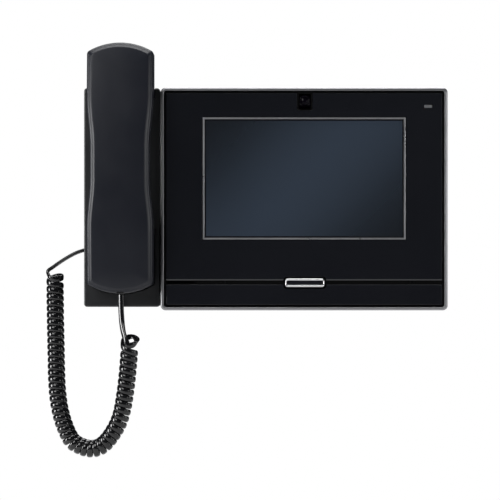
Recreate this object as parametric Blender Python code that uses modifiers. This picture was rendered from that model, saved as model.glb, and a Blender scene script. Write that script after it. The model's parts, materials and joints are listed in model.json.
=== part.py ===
"""Video intercom monitor with a corded handset, on a steel wall bracket.

The wall is the plane Y = 0 and the front of the unit faces -Y, with +Z up and +X to the right.
The origin is the centre of the bracket's back face, behind the centre of the monitor's body.
A "depth" below is a distance out from the wall, so the point at depth d has y = -d.
"""

import math

import bmesh
import bpy
from mathutils import Matrix, Vector

MM = 0.001
GAP = 0.3 * MM                     # clearance between pieces that touch
WALL = 2.2 * MM                    # thickness of the moulded shells
FULL_TURN = 2.0 * math.pi

# ---- Monitor body
BODY_WIDTH = 226.3 * MM
BODY_HEIGHT = 175.6 * MM
BODY_CORNER = 4.0 * MM
FRONT_DEPTH = 38.0 * MM            # front of the rim
RIM_WIDTH = 2.4 * MM
REVEAL = 1.9 * MM                  # dark gap between the rim and the panels
CASE_BACK = 3.2 * MM               # back wall of the case, clear of the bracket's plate
CASE_SPLIT = 28.0 * MM             # where the rear case meets the front case
WEB_BACK = 33.5 * MM               # the front case's web, which carries the panels
WEB_FRONT = 35.5 * MM
PANEL_BACK = WEB_FRONT + GAP
PANEL_FRONT = 37.6 * MM
RIM_BACK = 29.0 * MM
PANEL_HALF_WIDTH = BODY_WIDTH / 2 - RIM_WIDTH - REVEAL
PANEL_TOP = BODY_HEIGHT / 2 - RIM_WIDTH - REVEAL
CASE_HALF_WIDTH = 111.2 * MM
CASE_HALF_HEIGHT = 85.8 * MM
THROUGH_FRONT = (30.0 * MM, 45.0 * MM)  # reach of the cutters that open the front

# ---- Screen
SCREEN_WIDTH = 155.2 * MM          # visible area of a 7 inch display
SCREEN_HEIGHT = 91.5 * MM
SCREEN_CENTRE_Z = 16.2 * MM
FRAME_LINE = 1.4 * MM              # silver line round the screen
FRAME_MARGIN = 1.0 * MM            # dark band between the line and the display

# ---- Groove and lower panel
GROOVE_TOP = -64.4 * MM
GROOVE_BOTTOM = -67.4 * MM
SPEAKER_SLIT = (-108.5 * MM, -86.0 * MM)
MIC_HOLE_X = -62.4 * MM
RESET_HOLE_X = 83.6 * MM
GROOVE_HOLE_Z = -65.6 * MM

# ---- Talk button
CENTRE_LINE_X = 0.5 * MM
TALK_Z = -66.1 * MM
TALK_WIDTH = 31.8 * MM
TALK_HEIGHT = 7.7 * MM
TALK_CORE_WIDTH = 28.0 * MM
TALK_CORE_HEIGHT = 3.0 * MM
TALK_TRAVEL = 0.8 * MM

# ---- Camera
CAMERA_Z = 76.8 * MM
APERTURE_WIDTH = 11.8 * MM
APERTURE_HEIGHT = 13.8 * MM
EYE_RADIUS = 6.4 * MM
EYE_CENTRE = Vector((CENTRE_LINE_X, -29.8 * MM, 77.2 * MM))
EYE_LENGTH = 9.4 * MM
EYE_AIM = math.radians(9.0)        # the lens looks slightly up at rest

# ---- Status window, memory card door
STATUS_X = 97.8 * MM
STATUS_Z = 73.0 * MM
STATUS_SIZE = (6.0 * MM, 2.1 * MM)
CARD_DOOR_Z = (-18.0 * MM, 16.0 * MM)
CARD_DOOR_DEPTH = (16.0 * MM, 25.0 * MM)
CARD_DOOR_THICKNESS = 1.8 * MM

# ---- Wall bracket and rear openings
PLATE_HALF_WIDTH = 52.0 * MM
PLATE_HALF_HEIGHT = 72.0 * MM
PLATE_THICKNESS = 1.2 * MM
BOX_SCREW_SPACING = 83.5 * MM      # vertical spacing of a single-gang wall box
LOCK_SCREW_DEPTH = 8.5 * MM
CABLE_OPENING_X = (-32.0 * MM, 32.0 * MM)
CABLE_OPENING_Z = (4.0 * MM, 40.0 * MM)
CASE_SCREW_X = 102.0 * MM
CASE_SCREW_Z = 78.5 * MM

# ---- Main board
BOARD_DEPTH = (20.5 * MM, 22.1 * MM)

# ---- Cradle
CRADLE_LEFT = -173.9 * MM
CRADLE_RIGHT = -113.8 * MM
CRADLE_TOP = 87.8 * MM
CRADLE_BOTTOM = -85.2 * MM
CRADLE_BACK = 6.2 * MM
CRADLE_FRONT = 32.0 * MM
CRADLE_WALL = 2.0 * MM
CRADLE_CORNER = 2.5 * MM
CRADLE_SCREW_Z = (52.0 * MM, -76.0 * MM)
LIFT_ANGLE = math.radians(40.0)    # the handset leaves upwards and outwards at this angle
HOOK_DEPTH = 26.0 * MM             # where the hook tab stands in the ear pocket
PLUNGER_Z = -48.0 * MM
PLUNGER_FLANGE = 24.8 * MM         # leaves 2.4 mm for the plunger to move out

# ---- Handset
HANDSET_X = -144.5 * MM
HANDSET_TOP = 122.7 * MM
HANDSET_BOTTOM = -74.5 * MM
HANDSET_MIDDLE = (HANDSET_TOP + HANDSET_BOTTOM) / 2
HANDSET_END_RADIUS = 49.0 * MM
HANDSET_CORNER = 3.2 * MM
HANDSET_HALF_WIDTH = 26.1 * MM
WAIST_HALF_WIDTH = 23.4 * MM
WAIST_Z = (14.0 * MM, 41.0 * MM)
SHOULDER_Z = (-22.0 * MM, 80.0 * MM)
HANDSET_CROWN_DEPTH = 62.0 * MM    # outer face at the middle of its length
HANDSET_END_DROP = 8.0 * MM        # how much lower the outer face is at the ends
CHAMFER_DROP = 3.0 * MM
PARTING_DROP = 10.0 * MM           # outer shell's height below the outer face
SHELL_WALL = 2.0 * MM
GRIP_BACK_DEPTH = 44.0 * MM
EAR_BACK_DEPTH = 22.0 * MM
EAR_STEP_Z = 79.5 * MM             # underside of the ear end, which sits in the cradle
MOUTH_BACK_DEPTH = 29.7 * MM
MOUTH_TOP_Z = -30.0 * MM
MOUTH_SLOPE_Z = -10.0 * MM
BACK_EDGE_RADIUS = 4.0 * MM
RECEIVER_Z = 101.0 * MM
HANDSET_MIC_Z = -52.0 * MM
HANDSET_SCREW_Z = (66.0 * MM, 4.0 * MM)
# heights in mm of the handset's cross-sections, closer together where its outline or back turns
SIDE_STATIONS = [105.0, 96.0, 88.0, 79.5, 79.2, 74.0, 66.0, 56.0, 46.0, 34.0, 20.0, 10.0, 2.0,
                 -5.0, -10.0, -15.0, -20.0, -25.0, -30.0, -38.0, -48.0, -58.0]

# ---- Curly cord
COIL_RADIUS = 7.0 * MM
LEAD_RADIUS = 1.8 * MM
CORD_EXIT_DEPTH = 37.0 * MM        # at the handset
JACK_DEPTH = 15.0 * MM             # at the cradle
JACK_Z = -40.0 * MM
# Centre line of the coiled stretch, hanging in a loop: x, depth, z in millimetres
COIL_ROUTE = [(-198.1, 14.0, -59.6), (-198.0, 14.5, -80.0), (-197.3, 16.5, -112.0),
              (-195.9, 20.5, -150.0), (-192.2, 23.5, -172.0), (-184.9, 26.5, -189.4),
              (-177.2, 28.0, -195.3), (-167.6, 29.5, -197.4), (-158.8, 31.0, -194.0),
              (-150.5, 32.7, -183.8), (-144.6, 34.2, -171.0), (-141.0, 35.8, -152.0),
              (-138.6, 37.2, -130.0), (-137.1, 38.0, -108.0)]
BASE_LEAD_ROUTE = [(-175.3, 15.0, -40.3), (-181.0, 14.9, -42.5), (-187.1, 14.6, -45.5),
                   (-193.1, 14.2, -49.8), (-198.5, 13.8, -53.8), (-202.0, 13.6, -56.6)]
HANDSET_LEAD_ROUTE = [(-144.5, 37.0, -75.4), (-144.4, 37.1, -83.0), (-144.1, 37.4, -90.4),
                      (-143.3, 37.8, -98.0), (-142.2, 38.4, -104.6)]

# ---- Materials: colour, roughness, metallic
BLACK_GLOSS = ((0.012, 0.012, 0.014), 0.12, 0.0)
BLACK_PLASTIC = ((0.020, 0.020, 0.022), 0.45, 0.0)
CHARCOAL = ((0.045, 0.046, 0.052), 0.42, 0.0)
SILVER = ((0.55, 0.55, 0.57), 0.22, 0.9)
CHROME = ((0.85, 0.85, 0.86), 0.06, 1.0)
SLATE_GLASS = ((0.055, 0.075, 0.105), 0.10, 0.0)
DARK_GLASS = ((0.01, 0.01, 0.015), 0.03, 0.0)
BOARD_GREEN = ((0.02, 0.12, 0.05), 0.50, 0.0)
STEEL = ((0.60, 0.61, 0.62), 0.35, 1.0)
PAPER_GREY = ((0.25, 0.25, 0.26), 0.70, 0.0)
AMBER = ((0.45, 0.22, 0.03), 0.45, 0.0)
CLEAR_GREY = ((0.35, 0.36, 0.38), 0.20, 0.0)

for stale_object in list(bpy.data.objects):
    bpy.data.objects.remove(stale_object, do_unlink=True)

PARTS = bpy.data.collections.new("video_intercom_monitor")
CUTTERS = bpy.data.collections.new("cutters")
bpy.context.scene.collection.children.link(PARTS)
bpy.context.scene.collection.children.link(CUTTERS)


# ======================================================================= modelling helpers

def principled(name, look):
    """A Principled material with a colour, a roughness and a metallic value."""
    colour, roughness, metallic = look
    material = bpy.data.materials.new(name)
    material.use_nodes = True
    shader = material.node_tree.nodes["Principled BSDF"]
    shader.inputs["Base Color"].default_value = (*colour, 1.0)
    shader.inputs["Roughness"].default_value = roughness
    shader.inputs["Metallic"].default_value = metallic
    material.diffuse_color = (*colour, 1.0)
    return material


def add_part(name, mesh, look):
    """Put a mesh in the model as the sub-part called name."""
    part = bpy.data.objects.new(name, mesh)
    part.data.materials.append(principled(name + "_material", look))
    PARTS.objects.link(part)
    return part


def add_cutter(name, mesh):
    """Put a mesh among the cutters, which are not part of the object."""
    cutter = bpy.data.objects.new(name, mesh)
    cutter.hide_render = True
    cutter.display_type = "WIRE"
    CUTTERS.objects.link(cutter)
    return cutter


def boolean(target, tool, operation):
    """Add an exact Boolean modifier to the target."""
    modifier = target.modifiers.new(operation.lower() + "_" + tool.name, "BOOLEAN")
    modifier.operation = operation
    modifier.solver = "EXACT"
    modifier.object = tool


def cut(target, name, mesh):
    """Take a mesh's volume away from the target."""
    cutter = add_cutter(name, mesh)
    boolean(target, cutter, "DIFFERENCE")
    return cutter


def grow(target, name, mesh):
    """Add a mesh's volume to the target."""
    boolean(target, add_cutter(name, mesh), "UNION")


def bevel_edges(bm, edges, width, segments):
    """Round the given edges of a bmesh."""
    bmesh.ops.bevel(bm, geom=edges, offset=width, segments=segments, profile=0.5,
                    affect="EDGES", clamp_overlap=True)


def block(x, depth, z, corner=0.0, front=0.0, back=0.0, corner_segments=4, edge_segments=2):
    """A block between two x, two depths and two z.

    corner rounds the four edges that run front to back; front and back round the rims of
    those two faces.
    """
    bm = bmesh.new()
    bmesh.ops.create_cube(bm, size=1.0)
    size = Vector((x[1] - x[0], depth[1] - depth[0], z[1] - z[0]))
    middle = Vector((x[0] + x[1], -(depth[0] + depth[1]), z[0] + z[1])) / 2
    for vertex in bm.verts:
        vertex.co = Vector((vertex.co.x * size.x, vertex.co.y * size.y, vertex.co.z * size.z)) + middle
    if corner:
        long_edges = [edge for edge in bm.edges
                      if abs(edge.verts[0].co.y - edge.verts[1].co.y) > size.y / 2]
        bevel_edges(bm, long_edges, corner, corner_segments)
    for width, face_y in ((front, middle.y - size.y / 2), (back, middle.y + size.y / 2)):
        if width:
            rim = [edge for edge in bm.edges
                   if all(abs(vertex.co.y - face_y) < 1e-6 for vertex in edge.verts)]
            bevel_edges(bm, rim, width, edge_segments)
    return finish_mesh(bm)


def finish_mesh(bm):
    """Turn a bmesh into a smooth-shaded mesh with sharp creases, its faces pointing out."""
    bmesh.ops.recalc_face_normals(bm, faces=bm.faces)
    mesh = bpy.data.meshes.new("mesh")
    bm.to_mesh(mesh)
    bm.free()
    mesh.shade_smooth()
    mesh.set_sharp_from_angle(angle=math.radians(35.0))
    return mesh


def rod(start, end, radius, segments=16, end_radius=None):
    """A round rod, or a cone when end_radius is given, between two points."""
    start = Vector(start)
    end = Vector(end)
    along = end - start
    turn = along.to_track_quat("Z", "Y").to_matrix().to_4x4()
    bm = bmesh.new()
    bmesh.ops.create_cone(bm, cap_ends=True, segments=segments, radius1=radius,
                          radius2=radius if end_radius is None else end_radius,
                          depth=along.length, matrix=Matrix.Translation((start + end) / 2) @ turn)
    return finish_mesh(bm)


def turned(name, profile, base, direction, look, steps=24):
    """A turned piece: a profile of (radius, height) points, listed from the top down its outer side.

    Heights are measured from base along direction.
    """
    mesh = bpy.data.meshes.new("profile")
    points = [(radius, 0.0, height) for radius, height in profile]
    mesh.from_pydata(points, [(index, index + 1) for index in range(len(points) - 1)], [])
    part = add_part(name, mesh, look)
    part.location = base
    part.rotation_euler = Vector(direction).to_track_quat("Z", "Y").to_euler()
    screw = part.modifiers.new("turn", "SCREW")
    screw.axis = "Z"
    screw.angle = FULL_TURN
    screw.steps = steps
    screw.render_steps = steps
    screw.use_merge_vertices = True
    screw.merge_threshold = 0.00001
    screw.use_smooth_shade = True
    return part


def smooth_route(points, spacing):
    """Points along a Catmull-Rom curve through (x, depth, z) points given in millimetres."""
    knots = [Vector((x, -depth, z)) * MM for x, depth, z in points]
    knots = [knots[0] * 2 - knots[1]] + knots + [knots[-1] * 2 - knots[-2]]
    route = []
    for index in range(1, len(knots) - 2):
        before, start, end, after = knots[index - 1:index + 3]
        steps = max(1, round((end - start).length / spacing))
        for step in range(steps):
            t = step / steps
            route.append(0.5 * (2 * start + (end - before) * t
                                + (2 * before - 5 * start + 4 * end - after) * t ** 2
                                + (3 * start - before - 3 * end + after) * t ** 3))
    route.append(knots[-2])
    return route


def parted_route(route):
    """Two routes that meet face to face at the route's lowest point, GAP apart."""
    lowest = min(range(len(route)), key=lambda index: route[index].z)
    along = (route[lowest + 1] - route[lowest - 1]).normalized()
    straight = 3 * MM
    left = route[:lowest] + [route[lowest] - along * straight, route[lowest] - along * GAP / 2]
    right = [route[lowest] + along * GAP / 2, route[lowest] + along * straight] + route[lowest + 1:]
    return left, right


def tube(name, route, radius, look):
    """A round tube with closed ends along a list of points."""
    curve = bpy.data.curves.new(name, "CURVE")
    curve.dimensions = "3D"
    curve.bevel_depth = radius
    curve.bevel_resolution = 2
    curve.use_fill_caps = True
    spline = curve.splines.new("POLY")
    spline.points.add(len(route) - 1)
    for point, place in zip(spline.points, route):
        point.co = (*place, 1.0)
    return add_part(name, curve, look)


def smoothstep(t):
    """A soft ramp from 0 to 1."""
    t = min(max(t, 0.0), 1.0)
    return t * t * (3.0 - 2.0 * t)


# ======================================================================= monitor: mounting

def make_wall_bracket():
    """Steel plate that screws to the wall box; four hooks carry the case."""
    plate = add_part("wall_bracket", block((-PLATE_HALF_WIDTH, PLATE_HALF_WIDTH), (0.0, PLATE_THICKNESS),
                                           (-PLATE_HALF_HEIGHT, PLATE_HALF_HEIGHT), corner=4 * MM), STEEL)
    tongue = block((-9 * MM, 9 * MM), (0.0, PLATE_THICKNESS), (-82.9 * MM, -70.0 * MM))
    grow(plate, "bracket_tongue", tongue)
    lock_tab = block((-9 * MM, 9 * MM), (0.2 * MM, 12.0 * MM), (-82.9 * MM, -81.7 * MM))
    grow(plate, "bracket_lock_tab", lock_tab)
    cut(plate, "bracket_lock_hole", rod((0, -LOCK_SCREW_DEPTH, -84 * MM), (0, -LOCK_SCREW_DEPTH, -80.5 * MM),
                                        1.9 * MM, 12))
    cut(plate, "bracket_cable_hole", block((-26 * MM, 26 * MM), (-2 * MM, 3 * MM), (8 * MM, 38 * MM),
                                           corner=3 * MM))
    for side in (-1, 1):
        for z in (-40 * MM, 40 * MM):
            x = side * 44.0 * MM
            label = f"{'left' if side < 0 else 'right'}_{'low' if z < 0 else 'high'}"
            stem = block((x - 2 * MM, x + 2 * MM), (0.4 * MM, 7.6 * MM), (z, z + 3.0 * MM))
            lip = block((x - 2 * MM, x + 2 * MM), (6.4 * MM, 7.6 * MM), (z + 1 * MM, z + 8.0 * MM))
            grow(plate, "hook_stem_" + label, stem)
            grow(plate, "hook_lip_" + label, lip)
        z = side * BOX_SCREW_SPACING / 2
        cut(plate, f"box_screw_slot_{'low' if side < 0 else 'high'}",
            block((-5 * MM, 5 * MM), (-2 * MM, 3 * MM), (z - 2.2 * MM, z + 2.2 * MM), corner=2.1 * MM))
    turned("bracket_lock_screw", [(0.0, 1.7 * MM), (2.4 * MM, 1.7 * MM), (2.7 * MM, 1.3 * MM),
                                  (2.7 * MM, 0.0), (1.4 * MM, 0.0), (1.4 * MM, -6.0 * MM), (0.0, -6.6 * MM)],
           (0, -LOCK_SCREW_DEPTH, -CASE_HALF_HEIGHT - GAP), (0, 0, -1), STEEL, steps=16)


def make_joiner():
    """Steel plate behind both cases that ties the cradle to the monitor."""
    joiner = add_part("cradle_joiner", block((-152 * MM, -90 * MM), (1.8 * MM, 2.9 * MM),
                                             (-83 * MM, 83 * MM), corner=3 * MM), STEEL)
    for z in (-62 * MM, -10 * MM, 42 * MM):
        cut(joiner, "joiner_window", block((-136 * MM, -107 * MM), (0, 5 * MM), (z, z + 26 * MM)))
    for x, z in screw_places_on_joiner():
        cut(joiner, "joiner_screw_hole", rod((x, -0.5 * MM, z), (x, -4 * MM, z), 1.7 * MM, 12))


def screw_places_on_joiner():
    """The case and cradle screws that pass through the joiner."""
    return [(-CASE_SCREW_X, CASE_SCREW_Z), (-CASE_SCREW_X, -CASE_SCREW_Z),
            (HANDSET_X, CRADLE_SCREW_Z[0]), (HANDSET_X, CRADLE_SCREW_Z[1])]


# ======================================================================= monitor: shells

def make_rear_case():
    """Back shell: an open tray with vents, cable opening, hook slots and the card door's opening."""
    case = add_part("rear_case", block((-CASE_HALF_WIDTH, CASE_HALF_WIDTH), (CASE_BACK, CASE_SPLIT),
                                       (-CASE_HALF_HEIGHT, CASE_HALF_HEIGHT),
                                       corner=BODY_CORNER, back=1.6 * MM), BLACK_PLASTIC)
    cut(case, "rear_case_inside", block((-CASE_HALF_WIDTH + WALL, CASE_HALF_WIDTH - WALL),
                                        (CASE_BACK + WALL, CASE_SPLIT + 5 * MM),
                                        (-CASE_HALF_HEIGHT + WALL, CASE_HALF_HEIGHT - WALL),
                                        corner=BODY_CORNER - WALL))
    cut(case, "rear_cable_opening", block(CABLE_OPENING_X, (0, 10 * MM), CABLE_OPENING_Z, corner=3 * MM))
    cut(case, "lock_tab_slot", block((-10 * MM, 10 * MM), (0, 13 * MM), (-83.4 * MM, -81.2 * MM)))
    cut(case, "lock_screw_hole", rod((0, -LOCK_SCREW_DEPTH, -87 * MM), (0, -LOCK_SCREW_DEPTH, -82 * MM),
                                     1.8 * MM, 12))
    cut(case, "card_door_opening", block((105 * MM, 115 * MM),
                                         (CARD_DOOR_DEPTH[0] - GAP, CARD_DOOR_DEPTH[1] + GAP),
                                         (CARD_DOOR_Z[0] - GAP, CARD_DOOR_Z[1] + GAP)))
    for x in (-44 * MM, 44 * MM):
        for z in (-40 * MM, 40 * MM):
            cut(case, "hook_slot", block((x - 2.6 * MM, x + 2.6 * MM), (0, 10 * MM),
                                         (z - 0.6 * MM, z + 9.0 * MM)))
    for x in (-CASE_SCREW_X, CASE_SCREW_X):
        for z in (-CASE_SCREW_Z, CASE_SCREW_Z):
            cut(case, "case_screw_hole", rod((x, 0, z), (x, -8 * MM, z), 1.7 * MM, 12))
    vent_depth = (11 * MM, 24 * MM)
    for index in range(9):
        x = (index - 4) * 9.0 * MM
        cut(case, "top_vent", block((x - 1.3 * MM, x + 1.3 * MM), vent_depth, (80 * MM, 90 * MM)))
        cut(case, "bottom_vent", block((x + 34 * MM - 1.3 * MM, x + 34 * MM + 1.3 * MM), vent_depth,
                                       (-90 * MM, -80 * MM)))
    for index in range(7):
        x = -86 * MM + index * 6.0 * MM
        cut(case, "speaker_slot", block((x - 1.0 * MM, x + 1.0 * MM), (9 * MM, 21 * MM),
                                        (-90 * MM, -80 * MM)))


def make_front_case():
    """Front frame: a rim that meets the rear case and a web that carries the panels."""
    half_width = CASE_HALF_WIDTH + 0.7 * MM
    half_height = CASE_HALF_HEIGHT + 0.7 * MM
    case = add_part("front_case", block((-half_width, half_width), (CASE_SPLIT + GAP, WEB_FRONT),
                                        (-half_height, half_height), corner=BODY_CORNER), BLACK_PLASTIC)
    cut(case, "front_case_inside", block((-half_width + WALL, half_width - WALL), (20 * MM, WEB_BACK),
                                         (-half_height + WALL, half_height - WALL),
                                         corner=BODY_CORNER - WALL))
    cut(case, "screen_opening", centred_block(0, SCREEN_CENTRE_Z, SCREEN_WIDTH, SCREEN_HEIGHT,
                                              THROUGH_FRONT))
    cut(case, "camera_opening", centred_block(CENTRE_LINE_X, CAMERA_Z, APERTURE_WIDTH + 2 * GAP,
                                              APERTURE_HEIGHT + 2 * GAP, THROUGH_FRONT, 1.5 * MM))
    cut(case, "talk_slot", centred_block(CENTRE_LINE_X, TALK_Z, TALK_CORE_WIDTH + 4 * GAP,
                                         TALK_CORE_HEIGHT + 2 * GAP, THROUGH_FRONT, 0.8 * MM))
    cut(case, "status_light_hole", centred_block(STATUS_X, STATUS_Z, 3.0 * MM, 1.6 * MM, THROUGH_FRONT))
    cut(case, "speaker_slit", block(SPEAKER_SLIT, THROUGH_FRONT, (-66.6 * MM, -64.8 * MM)))
    for x in (MIC_HOLE_X, RESET_HOLE_X):
        cut(case, "groove_hole", rod((x, -THROUGH_FRONT[0], GROOVE_HOLE_Z),
                                     (x, -THROUGH_FRONT[1], GROOVE_HOLE_Z), 0.9 * MM, 10))
    for x in (-CASE_SCREW_X, CASE_SCREW_X):
        for z in (-CASE_SCREW_Z, CASE_SCREW_Z):
            grow(case, "case_boss", rod((x, -(CASE_BACK + WALL + GAP), z), (x, -(WEB_BACK + 1 * MM), z),
                                        3.4 * MM, 16))
            cut(case, "case_boss_bore", rod((x, -4 * MM, z), (x, -18 * MM, z), 1.5 * MM, 12))


def centred_block(x, z, width, height, depth, corner=0.0, **rims):
    """A block centred on x and z."""
    return block((x - width / 2, x + width / 2), depth, (z - height / 2, z + height / 2), corner, **rims)


def make_trim_ring():
    """Silver rim: a flat front lip with a skirt that wraps the front case."""
    ring = add_part("trim_ring", block((-BODY_WIDTH / 2, BODY_WIDTH / 2), (RIM_BACK, FRONT_DEPTH),
                                       (-BODY_HEIGHT / 2, BODY_HEIGHT / 2), corner=BODY_CORNER,
                                       front=1.4 * MM, back=0.8 * MM), SILVER)
    skirt = 1.0 * MM
    cut(ring, "rim_inside_skirt", block((-BODY_WIDTH / 2 + skirt, BODY_WIDTH / 2 - skirt),
                                        (20 * MM, WEB_FRONT + GAP),
                                        (-BODY_HEIGHT / 2 + skirt, BODY_HEIGHT / 2 - skirt),
                                        corner=BODY_CORNER - skirt))
    cut(ring, "rim_opening", block((-BODY_WIDTH / 2 + RIM_WIDTH, BODY_WIDTH / 2 - RIM_WIDTH),
                                   THROUGH_FRONT,
                                   (-BODY_HEIGHT / 2 + RIM_WIDTH, BODY_HEIGHT / 2 - RIM_WIDTH),
                                   corner=BODY_CORNER - 2 * MM))


def make_panels():
    """Gloss black upper panel and the strip below the groove."""
    panel = add_part("front_panel", block((-PANEL_HALF_WIDTH, PANEL_HALF_WIDTH), (PANEL_BACK, PANEL_FRONT),
                                          (GROOVE_TOP, PANEL_TOP), corner=0.6 * MM, front=0.4 * MM,
                                          corner_segments=3, edge_segments=1), BLACK_GLOSS)
    opening_width, opening_height = screen_opening()
    cut(panel, "panel_screen_opening", centred_block(0, SCREEN_CENTRE_Z, opening_width + 2 * GAP,
                                                     opening_height + 2 * GAP, THROUGH_FRONT, 0.6 * MM))
    cut(panel, "panel_camera_opening", centred_block(CENTRE_LINE_X, CAMERA_Z, APERTURE_WIDTH + 2 * GAP,
                                                     APERTURE_HEIGHT + 2 * GAP, THROUGH_FRONT, 1.8 * MM))
    cut(panel, "panel_status_slot", centred_block(STATUS_X, STATUS_Z, STATUS_SIZE[0] + 2 * GAP,
                                                  STATUS_SIZE[1] + 2 * GAP, THROUGH_FRONT))
    lower = add_part("lower_panel", block((-PANEL_HALF_WIDTH, PANEL_HALF_WIDTH), (PANEL_BACK, PANEL_FRONT),
                                          (-PANEL_TOP, GROOVE_BOTTOM), corner=0.6 * MM, front=0.4 * MM,
                                          corner_segments=3, edge_segments=1), BLACK_GLOSS)
    recess = 1.0 * MM
    for target in (panel, lower):
        cut(target, "talk_recess", centred_block(CENTRE_LINE_X, TALK_Z, TALK_WIDTH + 2 * recess,
                                                 TALK_HEIGHT + 2 * recess, THROUGH_FRONT, 2.6 * MM))


def screen_opening():
    """Outer width and height of the silver line round the screen."""
    return (SCREEN_WIDTH + 2 * (FRAME_MARGIN + FRAME_LINE), SCREEN_HEIGHT + 2 * (FRAME_MARGIN + FRAME_LINE))


# ======================================================================= monitor: screen and boards

def make_screen():
    """Silver frame, touch glass, display, its metal carrier and its flat cable."""
    outer_width, outer_height = screen_opening()
    inner_width = outer_width - 2 * FRAME_LINE
    inner_height = outer_height - 2 * FRAME_LINE
    frame = add_part("screen_frame", centred_block(0, SCREEN_CENTRE_Z, outer_width, outer_height,
                                                   (PANEL_BACK, PANEL_FRONT + 0.3 * MM), 0.5 * MM,
                                                   front=0.4 * MM, corner_segments=2, edge_segments=1),
                     SILVER)
    cut(frame, "frame_opening", centred_block(0, SCREEN_CENTRE_Z, inner_width, inner_height,
                                              THROUGH_FRONT))
    add_part("touch_panel", centred_block(0, SCREEN_CENTRE_Z, inner_width - 2 * GAP, inner_height - 2 * GAP,
                                          (PANEL_BACK, 37.0 * MM)), SLATE_GLASS)
    add_part("lcd_panel", centred_block(0, SCREEN_CENTRE_Z, 165 * MM, 102 * MM, (27.8 * MM, 33.2 * MM)),
             PAPER_GREY)
    chassis = add_part("lcd_chassis", centred_block(0, SCREEN_CENTRE_Z, 178 * MM, 104 * MM,
                                                    (26.3 * MM, 27.5 * MM), 3 * MM), STEEL)
    for x in (-48 * MM, 0, 48 * MM):
        for offset in (-20 * MM, 20 * MM):
            cut(chassis, "chassis_window", centred_block(x, SCREEN_CENTRE_Z + offset, 30 * MM, 28 * MM,
                                                         (20 * MM, 30 * MM)))
    ribbon = add_part("lcd_ribbon", block((-14 * MM, 14 * MM), (22.5 * MM, 22.9 * MM),
                                          (-46 * MM, -20 * MM)), AMBER)
    grow(ribbon, "ribbon_riser", block((-14 * MM, 14 * MM), (22.6 * MM, 30.6 * MM), (-46.4 * MM, -45.9 * MM)))
    grow(ribbon, "ribbon_tail", block((-14 * MM, 14 * MM), (30.2 * MM, 30.6 * MM), (-46.2 * MM, -35.2 * MM)))


def make_boards():
    """Main board with its rear sockets, card socket, speaker, microphone and status light."""
    board = add_part("main_board", block((-88 * MM, 88 * MM), BOARD_DEPTH, (-62 * MM, 62 * MM),
                                         corner=2 * MM, corner_segments=2), BOARD_GREEN)
    for x in (-84 * MM, 84 * MM):
        for z in (-58 * MM, 58 * MM):
            cut(board, "board_hole", rod((x, -15 * MM, z), (x, -25 * MM, z), 1.6 * MM, 10))
    behind_board = BOARD_DEPTH[0] - GAP
    jack = add_part("lan_jack", block((6 * MM, 22 * MM), (7.6 * MM, behind_board), (12 * MM, 28 * MM)), STEEL)
    cut(jack, "lan_socket", block((8.1 * MM, 19.9 * MM), (0, 17.5 * MM), (15.5 * MM, 23.0 * MM)))
    cut(jack, "lan_latch_slot", block((11.0 * MM, 17.0 * MM), (0, 15.5 * MM), (22.5 * MM, 25.6 * MM)))
    terminals = add_part("terminal_block", block((-28 * MM, -2 * MM), (10.0 * MM, behind_board),
                                                 (14 * MM, 26 * MM)), BLACK_PLASTIC)
    for index in range(5):
        x = (-25.4 + index * 5.2) * MM
        cut(terminals, "wire_entry", centred_block(x, 17.6 * MM, 3.2 * MM, 3.2 * MM, (5 * MM, 16 * MM)))
    socket = add_part("card_socket", block((80 * MM, 107 * MM), (17.0 * MM, behind_board),
                                           (-13 * MM, 13 * MM)), STEEL)
    cut(socket, "card_mouth", block((84 * MM, 110 * MM), (17.6 * MM, 19.6 * MM), (-12 * MM, 12 * MM)))
    add_part("monitor_speaker", block((-88 * MM, -48 * MM), (6.6 * MM, 23 * MM), (-82.9 * MM, -73 * MM),
                                      front=2 * MM, back=2 * MM), BLACK_PLASTIC)
    turned("monitor_microphone", [(0.0, 3.0 * MM), (2.8 * MM, 3.0 * MM), (3.0 * MM, 2.8 * MM),
                                  (3.0 * MM, 0.0), (0.0, 0.0)],
           (MIC_HOLE_X, -30.2 * MM, GROOVE_HOLE_Z), (0, -1, 0), STEEL, 16)
    add_part("status_led", centred_block(STATUS_X, STATUS_Z, 4.2 * MM, 2.8 * MM, (30.4 * MM, 33.2 * MM)),
             CLEAR_GREY)
    add_part("status_window", centred_block(STATUS_X, STATUS_Z, STATUS_SIZE[0], STATUS_SIZE[1],
                                            (PANEL_BACK, PANEL_FRONT)), CLEAR_GREY)
    add_part("button_board", centred_block(CENTRE_LINE_X, TALK_Z, 40 * MM, 13 * MM, (26.2 * MM, 27.4 * MM)),
             BOARD_GREEN)


def make_case_screws():
    """Screws from the back of the case into the front case's bosses."""
    profile = [(0.0, 1.2 * MM), (2.4 * MM, 1.2 * MM), (2.8 * MM, 0.7 * MM), (2.8 * MM, 0.0), (1.2 * MM, 0.0),
               (1.2 * MM, -9.0 * MM), (0.0, -9.8 * MM)]
    joiner_back = 1.8 * MM
    places = [(-1, 1), (1, 1), (-1, -1), (1, -1)]
    for number, (side, height) in enumerate(places, start=1):
        seat = joiner_back if side < 0 else CASE_BACK
        turned(f"case_screw_{number}", profile,
               (side * CASE_SCREW_X, -seat + GAP, height * CASE_SCREW_Z), (0, 1, 0), STEEL, 16)


# ======================================================================= monitor: moving pieces

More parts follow.
